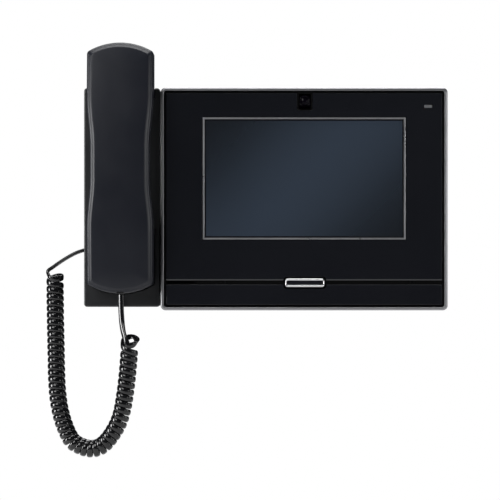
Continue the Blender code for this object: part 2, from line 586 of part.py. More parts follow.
def make_talk_button():
    """Black bar and its chrome ring, which press in together, and the switch behind them."""
    cap = add_part("talk_button_cap", centred_block(CENTRE_LINE_X, TALK_Z, TALK_CORE_WIDTH, TALK_CORE_HEIGHT,
                                                    (32.6 * MM, 38.2 * MM), 0.7 * MM, front=0.4 * MM,
                                                    corner_segments=3), BLACK_GLOSS)
    grow(cap, "talk_flange", centred_block(CENTRE_LINE_X, TALK_Z, TALK_CORE_WIDTH + 3 * MM,
                                           TALK_CORE_HEIGHT + 3 * MM, (32.0 * MM, 33.2 * MM)))
    grow(cap, "talk_stem", rod((CENTRE_LINE_X, -31.9 * MM, TALK_Z), (CENTRE_LINE_X, -32.4 * MM, TALK_Z),
                               2 * MM, 12))
    ring = add_part("talk_button_ring", centred_block(CENTRE_LINE_X, TALK_Z, TALK_WIDTH, TALK_HEIGHT,
                                                      (WEB_FRONT + TALK_TRAVEL + 0.2 * MM, 38.8 * MM),
                                                      2.0 * MM, front=0.8 * MM), CHROME)
    cut(ring, "ring_opening", centred_block(CENTRE_LINE_X, TALK_Z, TALK_CORE_WIDTH + 2 * GAP,
                                            TALK_CORE_HEIGHT + 2 * GAP, THROUGH_FRONT, 0.9 * MM))
    switch = add_part("talk_switch", centred_block(CENTRE_LINE_X, TALK_Z, 6 * MM, 6 * MM,
                                                   (27.7 * MM, 30.0 * MM)), BLACK_PLASTIC)
    grow(switch, "switch_nub", rod((CENTRE_LINE_X, -29.8 * MM, TALK_Z), (CENTRE_LINE_X, -30.9 * MM, TALK_Z),
                                   1.7 * MM, 12))


def make_camera():
    """Fixed surround with two ears, and an eye on stub axles that tilts the lens up and down."""
    surround = add_part("camera_surround", centred_block(CENTRE_LINE_X, CAMERA_Z, APERTURE_WIDTH,
                                                         APERTURE_HEIGHT, (33.2 * MM, PANEL_FRONT), 1.6 * MM,
                                                         front=0.3 * MM, corner_segments=3,
                                                         edge_segments=1), BLACK_PLASTIC)
    grow(surround, "camera_ears", centred_block(CENTRE_LINE_X, EYE_CENTRE.z, 15.6 * MM, 12.6 * MM,
                                                (25.5 * MM, 33.21 * MM)))
    cavity_width = EYE_LENGTH + 2 * GAP
    cut(surround, "aperture_hole", centred_block(CENTRE_LINE_X, CAMERA_Z, cavity_width, 12.6 * MM,
                                                 THROUGH_FRONT, 1.0 * MM))
    cut(surround, "ear_gap", centred_block(CENTRE_LINE_X, CAMERA_Z, cavity_width, 20.0 * MM,
                                           (20 * MM, 33.2 * MM)))
    ear_end = 9.0 * MM
    cut(surround, "axle_hole", rod(EYE_CENTRE - Vector((ear_end, 0, 0)), EYE_CENTRE + Vector((ear_end, 0, 0)),
                                   1.5 * MM, 16))

    eye = add_part("camera_eye", rod((-EYE_LENGTH / 2, 0, 0), (EYE_LENGTH / 2, 0, 0), EYE_RADIUS, 40),
                   BLACK_GLOSS)
    eye.location = EYE_CENTRE
    axle_end = 7.4 * MM
    axle = add_cutter("eye_axle", rod((-axle_end, 0, 0), (axle_end, 0, 0), 1.2 * MM, 16))
    axle.location = EYE_CENTRE
    boolean(eye, axle, "UNION")
    aim = Matrix.Rotation(-EYE_AIM, 4, "X")
    bore = add_cutter("lens_bore", rod(aim @ Vector((0, -4.2 * MM, 0)), aim @ Vector((0, -8 * MM, 0)),
                                       4.3 * MM, 32))
    bore.location = EYE_CENTRE
    boolean(eye, bore, "DIFFERENCE")
    turned("camera_lens", [(0.0, 1.9 * MM), (1.5 * MM, 1.75 * MM), (2.7 * MM, 1.3 * MM), (3.4 * MM, 1.5 * MM),
                           (4.0 * MM, 1.4 * MM), (4.0 * MM, 0.0), (0.0, 0.0)],
           EYE_CENTRE + aim @ Vector((0, -4.5 * MM, 0)), aim @ Vector((0, -1, 0)), DARK_GLASS, 32)


def make_card_door():
    """Small cover in the right side wall, hinged along its rear edge."""
    outer_x = CASE_HALF_WIDTH - 0.2 * MM
    hinge_x = outer_x - CARD_DOOR_THICKNESS / 2
    hinge_depth = CARD_DOOR_DEPTH[0] + CARD_DOOR_THICKNESS / 2
    half = CARD_DOOR_THICKNESS / 2
    bm = bmesh.new()
    outline = [(half, CARD_DOOR_DEPTH[1] - hinge_depth)]
    for step in range(9):
        angle = math.pi * step / 8
        outline.append((half * math.cos(angle), -half * math.sin(angle)))
    outline.append((-half, CARD_DOOR_DEPTH[1] - hinge_depth))
    base = bm.faces.new([bm.verts.new((x, -depth, CARD_DOOR_Z[0])) for x, depth in outline])
    raised = bmesh.ops.extrude_face_region(bm, geom=[base])["geom"]
    bmesh.ops.translate(bm, verts=[item for item in raised if isinstance(item, bmesh.types.BMVert)],
                        vec=(0, 0, CARD_DOOR_Z[1] - CARD_DOOR_Z[0]))
    door = add_part("card_door", finish_mesh(bm), BLACK_PLASTIC)
    door.location = (hinge_x, -hinge_depth, 0)


# ======================================================================= cradle

def slanted(x, start_depth, z, thickness, height):
    """A block that leans outwards as it rises, parallel to the handset's way out."""
    bm = bmesh.new()
    bmesh.ops.create_cube(bm, size=1.0)
    shift = height / math.tan(LIFT_ANGLE)
    for vertex in bm.verts:
        rise = vertex.co.z + 0.5
        near = vertex.co.y + 0.5
        vertex.co = Vector((x[0] + (vertex.co.x + 0.5) * (x[1] - x[0]),
                            -(start_depth + (1 - near) * thickness + rise * shift), z + rise * height))
    return finish_mesh(bm)


def dish_block(extra):
    """The shallow dish for the handset's mouth end, its sides sloping at 45 degrees."""
    floor = MOUTH_BACK_DEPTH - GAP
    half = 24.0 * MM
    low = HANDSET_BOTTOM + 2.0 * MM
    high = MOUTH_TOP_Z + 3.7 * MM
    rise = CRADLE_FRONT - floor
    over = 1.0 * MM
    bm = bmesh.new()
    corners = [(-1, 0), (1, 0), (1, 1), (-1, 1)]
    rings = []
    for spread, depth in ((0.0, floor), (rise + over, CRADLE_FRONT + over)):
        ring = []
        for side, top in corners:
            z = (high + spread + extra) if top else (low - spread - extra)
            ring.append(bm.verts.new((HANDSET_X + side * (half + spread + extra), -(depth - extra), z)))
        rings.append(ring)
    bm.faces.new(rings[0])
    bm.faces.new(rings[1])
    for index in range(4):
        after = (index + 1) % 4
        bm.faces.new([rings[0][index], rings[0][after], rings[1][after], rings[1][index]])
    return finish_mesh(bm)


def pocket_block(extra):
    """The pocket in the cradle's top that takes the handset's ear end."""
    half = HANDSET_HALF_WIDTH + 0.7 * MM + extra
    return block((HANDSET_X - half, HANDSET_X + half),
                 (EAR_BACK_DEPTH - 2 * MM - extra, CRADLE_FRONT + 5 * MM),
                 (EAR_STEP_Z - GAP - extra, CRADLE_TOP + 5 * MM))


def make_cradle():
    """Cradle shells: the front with the ear pocket, hook tab and mouth dish, and the rear plate."""
    front = add_part("cradle_front", block((CRADLE_LEFT, CRADLE_RIGHT), (CRADLE_BACK, CRADLE_FRONT),
                                           (CRADLE_BOTTOM, CRADLE_TOP), corner=CRADLE_CORNER,
                                           front=1.2 * MM), BLACK_PLASTIC)
    cut(front, "ear_pocket", pocket_block(0.0))
    cut(front, "mouth_dish", dish_block(0.0))
    inside = add_cutter("cradle_inside", block((CRADLE_LEFT + CRADLE_WALL, CRADLE_RIGHT - CRADLE_WALL),
                                               (0, CRADLE_FRONT - CRADLE_WALL),
                                               (CRADLE_BOTTOM + CRADLE_WALL, CRADLE_TOP - CRADLE_WALL)))
    boolean(inside, add_cutter("ear_pocket_wall", pocket_block(CRADLE_WALL)), "DIFFERENCE")
    boolean(inside, add_cutter("mouth_dish_wall", dish_block(CRADLE_WALL)), "DIFFERENCE")
    boolean(front, inside, "DIFFERENCE")
    for z in CRADLE_SCREW_Z:
        grow(front, "cradle_boss", rod((HANDSET_X, -(CRADLE_BACK + 0.2 * MM), z), (HANDSET_X, -30.6 * MM, z),
                                       3.2 * MM, 16))
        cut(front, "cradle_boss_bore", rod((HANDSET_X, -4 * MM, z), (HANDSET_X, -17 * MM, z), 1.5 * MM, 12))
    cut(front, "plunger_hole", rod((HANDSET_X, -20 * MM, PLUNGER_Z), (HANDSET_X, -40 * MM, PLUNGER_Z),
                                   4.0 * MM, 20))
    cut(front, "jack_opening", block((CRADLE_LEFT - 5 * MM, CRADLE_LEFT + 5 * MM),
                                     (JACK_DEPTH - 5.0 * MM, JACK_DEPTH + 5.0 * MM),
                                     (JACK_Z - 5.6 * MM, JACK_Z + 5.6 * MM)))
    hook_x = (HANDSET_X - 5 * MM, HANDSET_X + 5 * MM)
    grow(front, "hook_tab", slanted(hook_x, HOOK_DEPTH - 0.6 * MM, EAR_STEP_Z - GAP - 0.5 * MM, 2.4 * MM,
                                    3.7 * MM))
    rear = add_part("cradle_rear", block((CRADLE_LEFT + 0.8 * MM, CRADLE_RIGHT - 0.8 * MM),
                                         (CASE_BACK, CRADLE_BACK - GAP),
                                         (CRADLE_BOTTOM + 0.8 * MM, CRADLE_TOP - 0.8 * MM),
                                         corner=CRADLE_CORNER, back=0.8 * MM), BLACK_PLASTIC)
    for z in CRADLE_SCREW_Z:
        cut(rear, "cradle_screw_hole", rod((HANDSET_X, 0, z), (HANDSET_X, -10 * MM, z), 1.7 * MM, 12))


def make_hook_switch():
    """Plunger in the dish, the spring that pushes it out, the switch and its board."""
    peg_end = 19.0 * MM
    height = MOUTH_BACK_DEPTH - GAP - peg_end
    base = (HANDSET_X, -peg_end, PLUNGER_Z)
    flange_top = PLUNGER_FLANGE - peg_end
    flange_bottom = flange_top - 1.3 * MM
    turned("hook_switch_plunger",
           [(0.0, height), (2.4 * MM, height - 0.25 * MM), (3.6 * MM, height - 1.2 * MM),
            (3.6 * MM, flange_top), (5.0 * MM, flange_top), (5.0 * MM, flange_bottom),
            (1.4 * MM, flange_bottom), (1.4 * MM, 0.0), (0.0, 0.0)],
           base, (0, -1, 0), BLACK_PLASTIC, 20)
    make_spring("hook_switch_spring", Vector(base), 17.3 * MM, 23.1 * MM)
    add_part("hook_switch", centred_block(HANDSET_X, PLUNGER_Z, 12.8 * MM, 6.5 * MM, (10.0 * MM, 16.8 * MM)),
             BLACK_PLASTIC)
    add_part("cradle_board", block((HANDSET_X - 20 * MM, HANDSET_X + 16 * MM), (8.2 * MM, 9.7 * MM),
                                   (-66 * MM, -28 * MM), corner=1.5 * MM, corner_segments=2), BOARD_GREEN)


def make_spring(name, centre, low_depth, high_depth):
    """Compression spring round the plunger's peg: a wire along a helix."""
    turns = 4
    points_per_turn = 12
    coil_radius = 2.3 * MM
    wire_radius = 0.25 * MM
    route = []
    for index in range(turns * points_per_turn + 1):
        share = index / (turns * points_per_turn)
        angle = FULL_TURN * turns * share
        depth = low_depth + wire_radius + (high_depth - low_depth - 2 * wire_radius) * share
        route.append(Vector((centre.x + coil_radius * math.cos(angle), -depth,
                             centre.z + coil_radius * math.sin(angle))))
    tube(name, route, wire_radius, STEEL).data.bevel_resolution = 0


def make_cradle_screws():
    """Screws from the back through the joiner into the cradle's bosses."""
    profile = [(0.0, 1.2 * MM), (2.4 * MM, 1.2 * MM), (2.8 * MM, 0.7 * MM), (2.8 * MM, 0.0), (1.2 * MM, 0.0),
               (1.2 * MM, -10.0 * MM), (0.0, -10.8 * MM)]
    for number, z in enumerate(CRADLE_SCREW_Z, start=1):
        turned(f"cradle_screw_{number}", profile, (HANDSET_X, -1.8 * MM + GAP, z), (0, 1, 0), STEEL, 16)


def jack_and_plug(jack_name, plug_name, mouth, direction, cord_reach):
    """A four-way cord jack whose open face is centred on mouth, and the plug that sits in it.

    direction is the way the cord leaves, along X or Z; cord_reach is how far the plug stands out.
    """
    across = Vector((0, 0, 1)) if direction.x else Vector((1, 0, 0))

    def stretch(start, end, half_width, half_height):
        low = mouth + direction * start - across * half_width
        high = mouth + direction * end + across * half_width
        return block(sorted((low.x, high.x)), (-mouth.y - half_height, -mouth.y + half_height),
                     sorted((low.z, high.z)))

    jack = add_part(jack_name, stretch(-12.0 * MM, 0.0, 5.2 * MM, 4.4 * MM), BLACK_PLASTIC)
    cut(jack, jack_name + "_socket", stretch(-10.0 * MM, 3.0 * MM, 4.1 * MM, 3.3 * MM))
    add_part(plug_name, stretch(-9.0 * MM, cord_reach, 3.7 * MM, 2.9 * MM), BLACK_PLASTIC)


def make_cord():
    """Jacks, plugs, the two straight leads and the two halves of the coiled stretch."""
    base_mouth = Vector((CRADLE_LEFT + 2.4 * MM, -JACK_DEPTH, JACK_Z))
    jack_and_plug("handset_jack_base", "cord_plug_base", base_mouth, Vector((-1, 0, 0)), 2.8 * MM)
    handset_mouth = Vector((HANDSET_X, -CORD_EXIT_DEPTH, HANDSET_BOTTOM + 3.6 * MM))
    jack_and_plug("handset_jack", "cord_plug_handset", handset_mouth, Vector((0, 0, -1)), 3.9 * MM)
    coil_spacing = 9 * MM
    lead_spacing = 5 * MM
    tube("cord_lead_base", smooth_route(BASE_LEAD_ROUTE, lead_spacing), LEAD_RADIUS, BLACK_PLASTIC)
    left_half, right_half = parted_route(smooth_route(COIL_ROUTE, coil_spacing))
    tube("cord_coil_left", left_half, COIL_RADIUS, BLACK_PLASTIC)
    tube("cord_coil_right", right_half, COIL_RADIUS, BLACK_PLASTIC)
    tube("cord_lead_handset", smooth_route(HANDSET_LEAD_ROUTE, lead_spacing), LEAD_RADIUS, BLACK_PLASTIC)


# ======================================================================= handset

def handset_half_width(z):
    """Half the handset's width at height z: full at both ends and pinched at the grip."""
    above = smoothstep((z - WAIST_Z[1]) / (SHOULDER_Z[1] - WAIST_Z[1]))
    below = smoothstep((WAIST_Z[0] - z) / (WAIST_Z[0] - SHOULDER_Z[0]))
    return WAIST_HALF_WIDTH + (HANDSET_HALF_WIDTH - WAIST_HALF_WIDTH) * max(above, below)


def face_depth(z):
    """Depth of the outer face's centre line, a shallow arch along the handset."""
    reach = (HANDSET_TOP - HANDSET_BOTTOM) / 2
    return HANDSET_CROWN_DEPTH - HANDSET_END_DROP * ((z - HANDSET_MIDDLE) / reach) ** 2


def back_depth(z):
    """Depth of the inner face: ear end, grip and mouth end."""
    if z >= EAR_STEP_Z - 0.01 * MM:
        return EAR_BACK_DEPTH
    towards_mouth = smoothstep((MOUTH_SLOPE_Z - z) / (MOUTH_SLOPE_Z - MOUTH_TOP_Z))
    return GRIP_BACK_DEPTH + (MOUTH_BACK_DEPTH - GRIP_BACK_DEPTH) * towards_mouth


def end_arc(inset, upwards, arc_steps=5, corner_steps=3):
    """Right half of one rounded end, from its tip to the side: (x, z) points."""
    tip = HANDSET_TOP if upwards else HANDSET_BOTTOM
    sign = 1.0 if upwards else -1.0
    centre_z = tip - sign * HANDSET_END_RADIUS
    radius = HANDSET_END_RADIUS - inset
    half = HANDSET_HALF_WIDTH - inset
    corner = HANDSET_CORNER
    corner_x = half - corner
    corner_rise = math.sqrt((radius - corner) ** 2 - corner_x ** 2)
    meeting = math.atan2(corner_x, corner_rise)
    points = []
    for step in range(arc_steps + 1):
        angle = meeting * step / arc_steps
        points.append((radius * math.sin(angle), centre_z + sign * radius * math.cos(angle)))
    for step in range(1, corner_steps + 1):
        angle = meeting + (math.pi / 2 - meeting) * step / corner_steps
        points.append((corner_x + corner * math.sin(angle),
                       centre_z + sign * (corner_rise + corner * math.cos(angle))))
    return points


def half_outline(inset):
    """Right half of the handset's outline, from the top tip to the bottom tip."""
    points = end_arc(inset, upwards=True)
    for station in SIDE_STATIONS:
        z = station * MM
        points.append((handset_half_width(z) - inset, z))
    points.extend(reversed(end_arc(inset, upwards=False)))
    return points


def shell_surface(rings):
    """An open surface through rings of (half outline, depth function), closed across the last ring."""
    bm = bmesh.new()
    levels = []
    for outline, depth in rings:
        right = [bm.verts.new((HANDSET_X + x, -depth(z), z)) for x, z in outline]
        left = [right[0]] + [bm.verts.new((HANDSET_X - x, -depth(z), z)) for x, z in outline[1:-1]]
        left.append(right[-1])
        levels.append((right, left))
    for (right, left), (next_right, next_left) in zip(levels, levels[1:]):
        for index in range(len(right) - 1):
            bm.faces.new([right[index], next_right[index], next_right[index + 1], right[index + 1]])
            bm.faces.new([left[index + 1], next_left[index + 1], next_left[index], left[index]])
    right, left = levels[-1]
    for index in range(len(right) - 1):
        corners = [left[index], left[index + 1], right[index + 1], right[index]]
        bm.faces.new(list(dict.fromkeys(corners)))
    bmesh.ops.recalc_face_normals(bm, faces=bm.faces)
    mesh = bpy.data.meshes.new("shell")
    bm.to_mesh(mesh)
    bm.free()
    mesh.shade_smooth()
    mesh.set_sharp_from_angle(angle=math.radians(35.0))
    return mesh


def hollow(part):
    """Give an open surface its wall thickness, inwards."""
    solidify = part.modifiers.new("wall", "SOLIDIFY")
    solidify.thickness = SHELL_WALL
    solidify.offset = -1.0
    solidify.use_even_offset = True
    solidify.use_rim = True


def make_handset_shells():
    """Outer shell with its chamfered face, and inner shell with the ear and mouth ends."""
    chamfer = 3.5 * MM
    crown = 0.8 * MM
    outer = add_part("handset_outer_shell", shell_surface([
        (half_outline(0.0), lambda z: face_depth(z) - PARTING_DROP),
        (half_outline(0.0), lambda z: face_depth(z) - CHAMFER_DROP - crown),
        (half_outline(chamfer), lambda z: face_depth(z) - crown),
        (half_outline(12 * MM), face_depth)]), CHARCOAL)
    hollow(outer)
    inner = add_part("handset_inner_shell", shell_surface([
        (half_outline(0.0), lambda z: face_depth(z) - PARTING_DROP - GAP),
        (half_outline(0.0), lambda z: back_depth(z) + BACK_EDGE_RADIUS),
        (half_outline(BACK_EDGE_RADIUS * 0.3), lambda z: back_depth(z) + BACK_EDGE_RADIUS * 0.3),
        (half_outline(BACK_EDGE_RADIUS), back_depth)]), CHARCOAL)
    hollow(inner)
    for z in HANDSET_SCREW_Z:
        grow(outer, "handset_boss", rod((HANDSET_X, -(GRIP_BACK_DEPTH + SHELL_WALL + GAP), z),
                                        (HANDSET_X, -(face_depth(z) - 1.0 * MM), z), 3.0 * MM, 14))
        cut(outer, "handset_boss_bore", rod((HANDSET_X, -40 * MM, z), (HANDSET_X, -54 * MM, z),
                                            1.5 * MM, 12))
        cut(inner, "handset_screw_hole", rod((HANDSET_X, -40 * MM, z), (HANDSET_X, -50 * MM, z),
                                             1.7 * MM, 12))
    hook_x = (HANDSET_X - 5.6 * MM, HANDSET_X + 5.6 * MM)
    cut(inner, "hook_slot_in_handset", slanted(hook_x, HOOK_DEPTH - 1.0 * MM - 2.4 * MM,
                                               EAR_STEP_Z - 2.4 * MM, 3.6 * MM, 7.4 * MM))
    cut(inner, "cord_opening", block((HANDSET_X - 4.2 * MM, HANDSET_X + 4.2 * MM),
                                     (CORD_EXIT_DEPTH - 3.4 * MM, CORD_EXIT_DEPTH + 3.4 * MM),
                                     (HANDSET_BOTTOM - 5 * MM, HANDSET_BOTTOM + 3.2 * MM)))
    cut(outer, "cord_notch", block((HANDSET_X - 2.8 * MM, HANDSET_X + 2.8 * MM), (40 * MM, 60 * MM),
                                   (HANDSET_BOTTOM - 5 * MM, HANDSET_BOTTOM + 1.6 * MM)))
    for ring_radius, count in ((0.0, 1), (5.0 * MM, 6)):
        for index in range(count):
            angle = FULL_TURN * index / count
            x = HANDSET_X + ring_radius * math.cos(angle)
            z = RECEIVER_Z + ring_radius * math.sin(angle)
            cut(inner, "receiver_hole", rod((x, -15 * MM, z), (x, -26 * MM, z), 1.0 * MM, 8))
    for index in (-1, 0, 1):
        x = HANDSET_X + index * 4 * MM
        cut(inner, "mouth_hole", rod((x, -25 * MM, HANDSET_MIC_Z), (x, -33 * MM, HANDSET_MIC_Z), 0.8 * MM, 8))


def make_handset_inside():
    """Receiver and its seal, microphone, weight and screws."""
    seat = EAR_BACK_DEPTH + SHELL_WALL + GAP
    seal_thickness = 1.0 * MM
    turned("receiver_seal", [(12.0 * MM, seal_thickness), (14.5 * MM, seal_thickness), (14.5 * MM, 0.0),
                             (12.0 * MM, 0.0), (12.0 * MM, seal_thickness)],
           (HANDSET_X, -seat, RECEIVER_Z), (0, -1, 0), BLACK_PLASTIC, 24)
    turned("receiver", [(0.0, 9.0 * MM), (9.0 * MM, 9.0 * MM), (9.0 * MM, 4.0 * MM), (14.5 * MM, 3.0 * MM),
                        (14.5 * MM, 0.0), (0.0, 0.0)],
           (HANDSET_X, -(seat + seal_thickness + GAP), RECEIVER_Z), (0, -1, 0), STEEL, 24)
    turned("handset_microphone", [(0.0, 5.0 * MM), (4.8 * MM, 5.0 * MM), (4.8 * MM, 0.0), (0.0, 0.0)],
           (HANDSET_X, -(MOUTH_BACK_DEPTH + SHELL_WALL + GAP), HANDSET_MIC_Z), (0, -1, 0), STEEL, 16)
    add_part("handset_weight", block((HANDSET_X - 9 * MM, HANDSET_X + 9 * MM), (40 * MM, 47 * MM),
                                     (-47 * MM, -24 * MM), corner=1.5 * MM, corner_segments=2), STEEL)
    profile = [(0.0, 1.2 * MM), (2.3 * MM, 1.2 * MM), (2.7 * MM, 0.7 * MM), (2.7 * MM, 0.0), (1.2 * MM, 0.0),
               (1.2 * MM, -8.0 * MM), (0.0, -8.8 * MM)]
    for number, z in enumerate(HANDSET_SCREW_Z, start=1):
        turned(f"handset_screw_{number}", profile, (HANDSET_X, -GRIP_BACK_DEPTH + GAP, z), (0, 1, 0),
               STEEL, 16)


def gather(name, place, pieces):
    """Parent the pieces that move together to an empty on their joint's axis."""
    joint = bpy.data.objects.new(name, None)
    joint.empty_display_size = 10 * MM
    joint.location = place
    PARTS.objects.link(joint)
    for piece in pieces:
        part = bpy.data.objects[piece]
        part.parent = joint
        part.matrix_parent_inverse = Matrix.Translation(-Vector(place))


def gather_moving_pieces():
    """One empty for each joint."""
    handset = [part.name for part in PARTS.objects
               if part.name.startswith(("handset_", "receiver")) and part.name != "handset_jack_base"]
    handset += ["cord_plug_handset", "cord_lead_handset", "cord_coil_right"]
    gather("handset_lift", (HANDSET_X, -HOOK_DEPTH, EAR_STEP_Z), handset)
    gather("hook_switch_travel", (HANDSET_X, -PLUNGER_FLANGE, PLUNGER_Z), ["hook_switch_plunger"])
    gather("talk_button_press", (CENTRE_LINE_X, -PANEL_FRONT, TALK_Z),
           ["talk_button_cap", "talk_button_ring"])
    gather("camera_tilt", EYE_CENTRE, ["camera_eye", "camera_lens"])


make_wall_bracket()
make_joiner()
make_rear_case()
make_front_case()
make_trim_ring()
make_panels()
make_screen()
make_boards()
make_case_screws()
make_talk_button()
make_camera()
make_card_door()
make_cradle()
make_hook_switch()
make_cradle_screws()
make_cord()
make_handset_shells()
make_handset_inside()
gather_moving_pieces()
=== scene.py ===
import json
import math

import bmesh
import bpy
from mathutils import Matrix, Vector


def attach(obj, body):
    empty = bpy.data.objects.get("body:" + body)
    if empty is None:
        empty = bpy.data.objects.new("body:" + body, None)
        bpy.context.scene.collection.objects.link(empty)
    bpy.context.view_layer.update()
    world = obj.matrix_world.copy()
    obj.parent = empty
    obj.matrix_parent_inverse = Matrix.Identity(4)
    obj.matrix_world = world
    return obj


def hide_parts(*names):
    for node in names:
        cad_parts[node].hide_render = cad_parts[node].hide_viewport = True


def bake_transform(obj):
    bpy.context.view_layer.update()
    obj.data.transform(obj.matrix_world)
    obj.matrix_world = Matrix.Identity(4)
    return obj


# Looks of a wall-mounted video intercom monitor with a corded handset.
# Metres, +Z up, the wall at y = 0. "Depth" is the distance out from the wall, so y = -depth.

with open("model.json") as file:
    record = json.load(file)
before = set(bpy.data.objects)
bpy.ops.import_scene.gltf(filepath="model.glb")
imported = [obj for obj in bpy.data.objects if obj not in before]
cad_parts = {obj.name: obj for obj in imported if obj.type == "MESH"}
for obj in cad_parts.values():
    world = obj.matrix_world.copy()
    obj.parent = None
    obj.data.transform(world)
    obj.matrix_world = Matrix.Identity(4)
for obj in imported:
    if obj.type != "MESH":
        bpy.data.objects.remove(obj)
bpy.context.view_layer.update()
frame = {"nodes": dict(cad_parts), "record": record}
CAD_NODES = frame["nodes"]
CAD_SLOTS = {part["node"]: part["material_slot"] for part in frame["record"]["subparts"]}

MM = 0.001
FULL_TURN = 2.0 * math.pi


def new_object(name, data):
    """A new object in the scene."""
    made = bpy.data.objects.new(name, data)
    bpy.context.scene.collection.objects.link(made)
    return made


# ---------- camera, stage and light

def make_camera():
    """A long lens straight in front, so that the sides of the object hardly show."""
    data = bpy.data.cameras.new("photo_camera")
    data.sensor_width = 36.0
    data.lens = 179.3
    camera = new_object("photo_camera", data)
    camera.location = (-0.0427, -2.0, -0.0402)
    camera.rotation_euler = (math.radians(90.0), 0.0, 0.0)
    bpy.context.scene.camera = camera


def make_area_light(name, place, target, size, power):
    """A soft box that looks from place to target; size is its width and height in metres."""
    data = bpy.data.lights.new(name, "AREA")
    data.shape = "RECTANGLE"
    data.size, data.size_y = size
    data.energy = power
    light = new_object(name, data)
    light.location = place
    light.rotation_mode = "QUATERNION"
    light.rotation_quaternion = (Vector(target) - Vector(place)).to_track_quat("-Z", "Y")
    light.visible_camera = False


def make_lights():
    """Soft boxes of a small studio: strong from the left, weaker from the right, top and behind."""
    centre = (-0.04, -0.03, -0.03)
    make_area_light("left_box", (-1.15, -0.27, 0.02), centre, (0.24, 0.50), 9.5)
    make_area_light("right_front_box", (0.85, -0.95, 0.05), centre, (0.18, 0.30), 1.7)
    make_area_light("right_box", (1.10, -0.14, 0.05), centre, (0.40, 0.56), 3.2)
    make_area_light("top_box", (-0.05, -0.12, 1.10), (-0.05, -0.10, 0.0), (1.20, 0.60), 18.0)
    make_area_light("front_fill", (-1.10, -1.45, 0.95), centre, (0.90, 0.90), 19.5)
    make_area_light("back_box", (-0.05, 1.05, 1.15), (0.0, 0.0, 0.0), (0.80, 0.60), 8.0)


ROOM_COLOUR = (0.88, 0.94, 1.0, 1.0)
ROOM_STRENGTH = 0.06


def make_world():
    """White behind the object, and a dim room in its reflections."""
    world = bpy.data.worlds.new("studio")
    bpy.context.scene.world = world
    world.use_nodes = True
    tree = world.node_tree
    tree.nodes.clear()
    path = tree.nodes.new("ShaderNodeLightPath")
    mix = tree.nodes.new("ShaderNodeMixShader")
    output = tree.nodes.new("ShaderNodeOutputWorld")
    tree.links.new(path.outputs["Is Camera Ray"], mix.inputs["Fac"])
    for socket, colour, strength in ((1, ROOM_COLOUR, ROOM_STRENGTH), (2, (1.0, 1.0, 1.0, 1.0), 1.0)):
        background = tree.nodes.new("ShaderNodeBackground")
        background.inputs["Color"].default_value = colour
        background.inputs["Strength"].default_value = strength
        tree.links.new(background.outputs["Background"], mix.inputs[socket])
    tree.links.new(mix.outputs["Shader"], output.inputs["Surface"])
    bpy.context.scene.view_settings.view_transform = "Standard"


def make_floor():
    """A plain pale floor under the object."""
    top = -0.295
    corners = [(-0.80, -0.62), (0.70, -0.62), (0.70, 0.42), (-0.80, 0.42)]
    rings = [[(x, y, z) for x, y in corners] for z in (top - 0.02, top)]
    floor = new_object("floor", finish_mesh(stack(rings)))
    paint = Surface("floor_paint", (0.80, 0.80, 0.80), 0.62).tint((0.77, 0.77, 0.775), 3.0).wear(0.05, 20.0)
    floor.data.materials.append(paint.material)


# ---------- materials

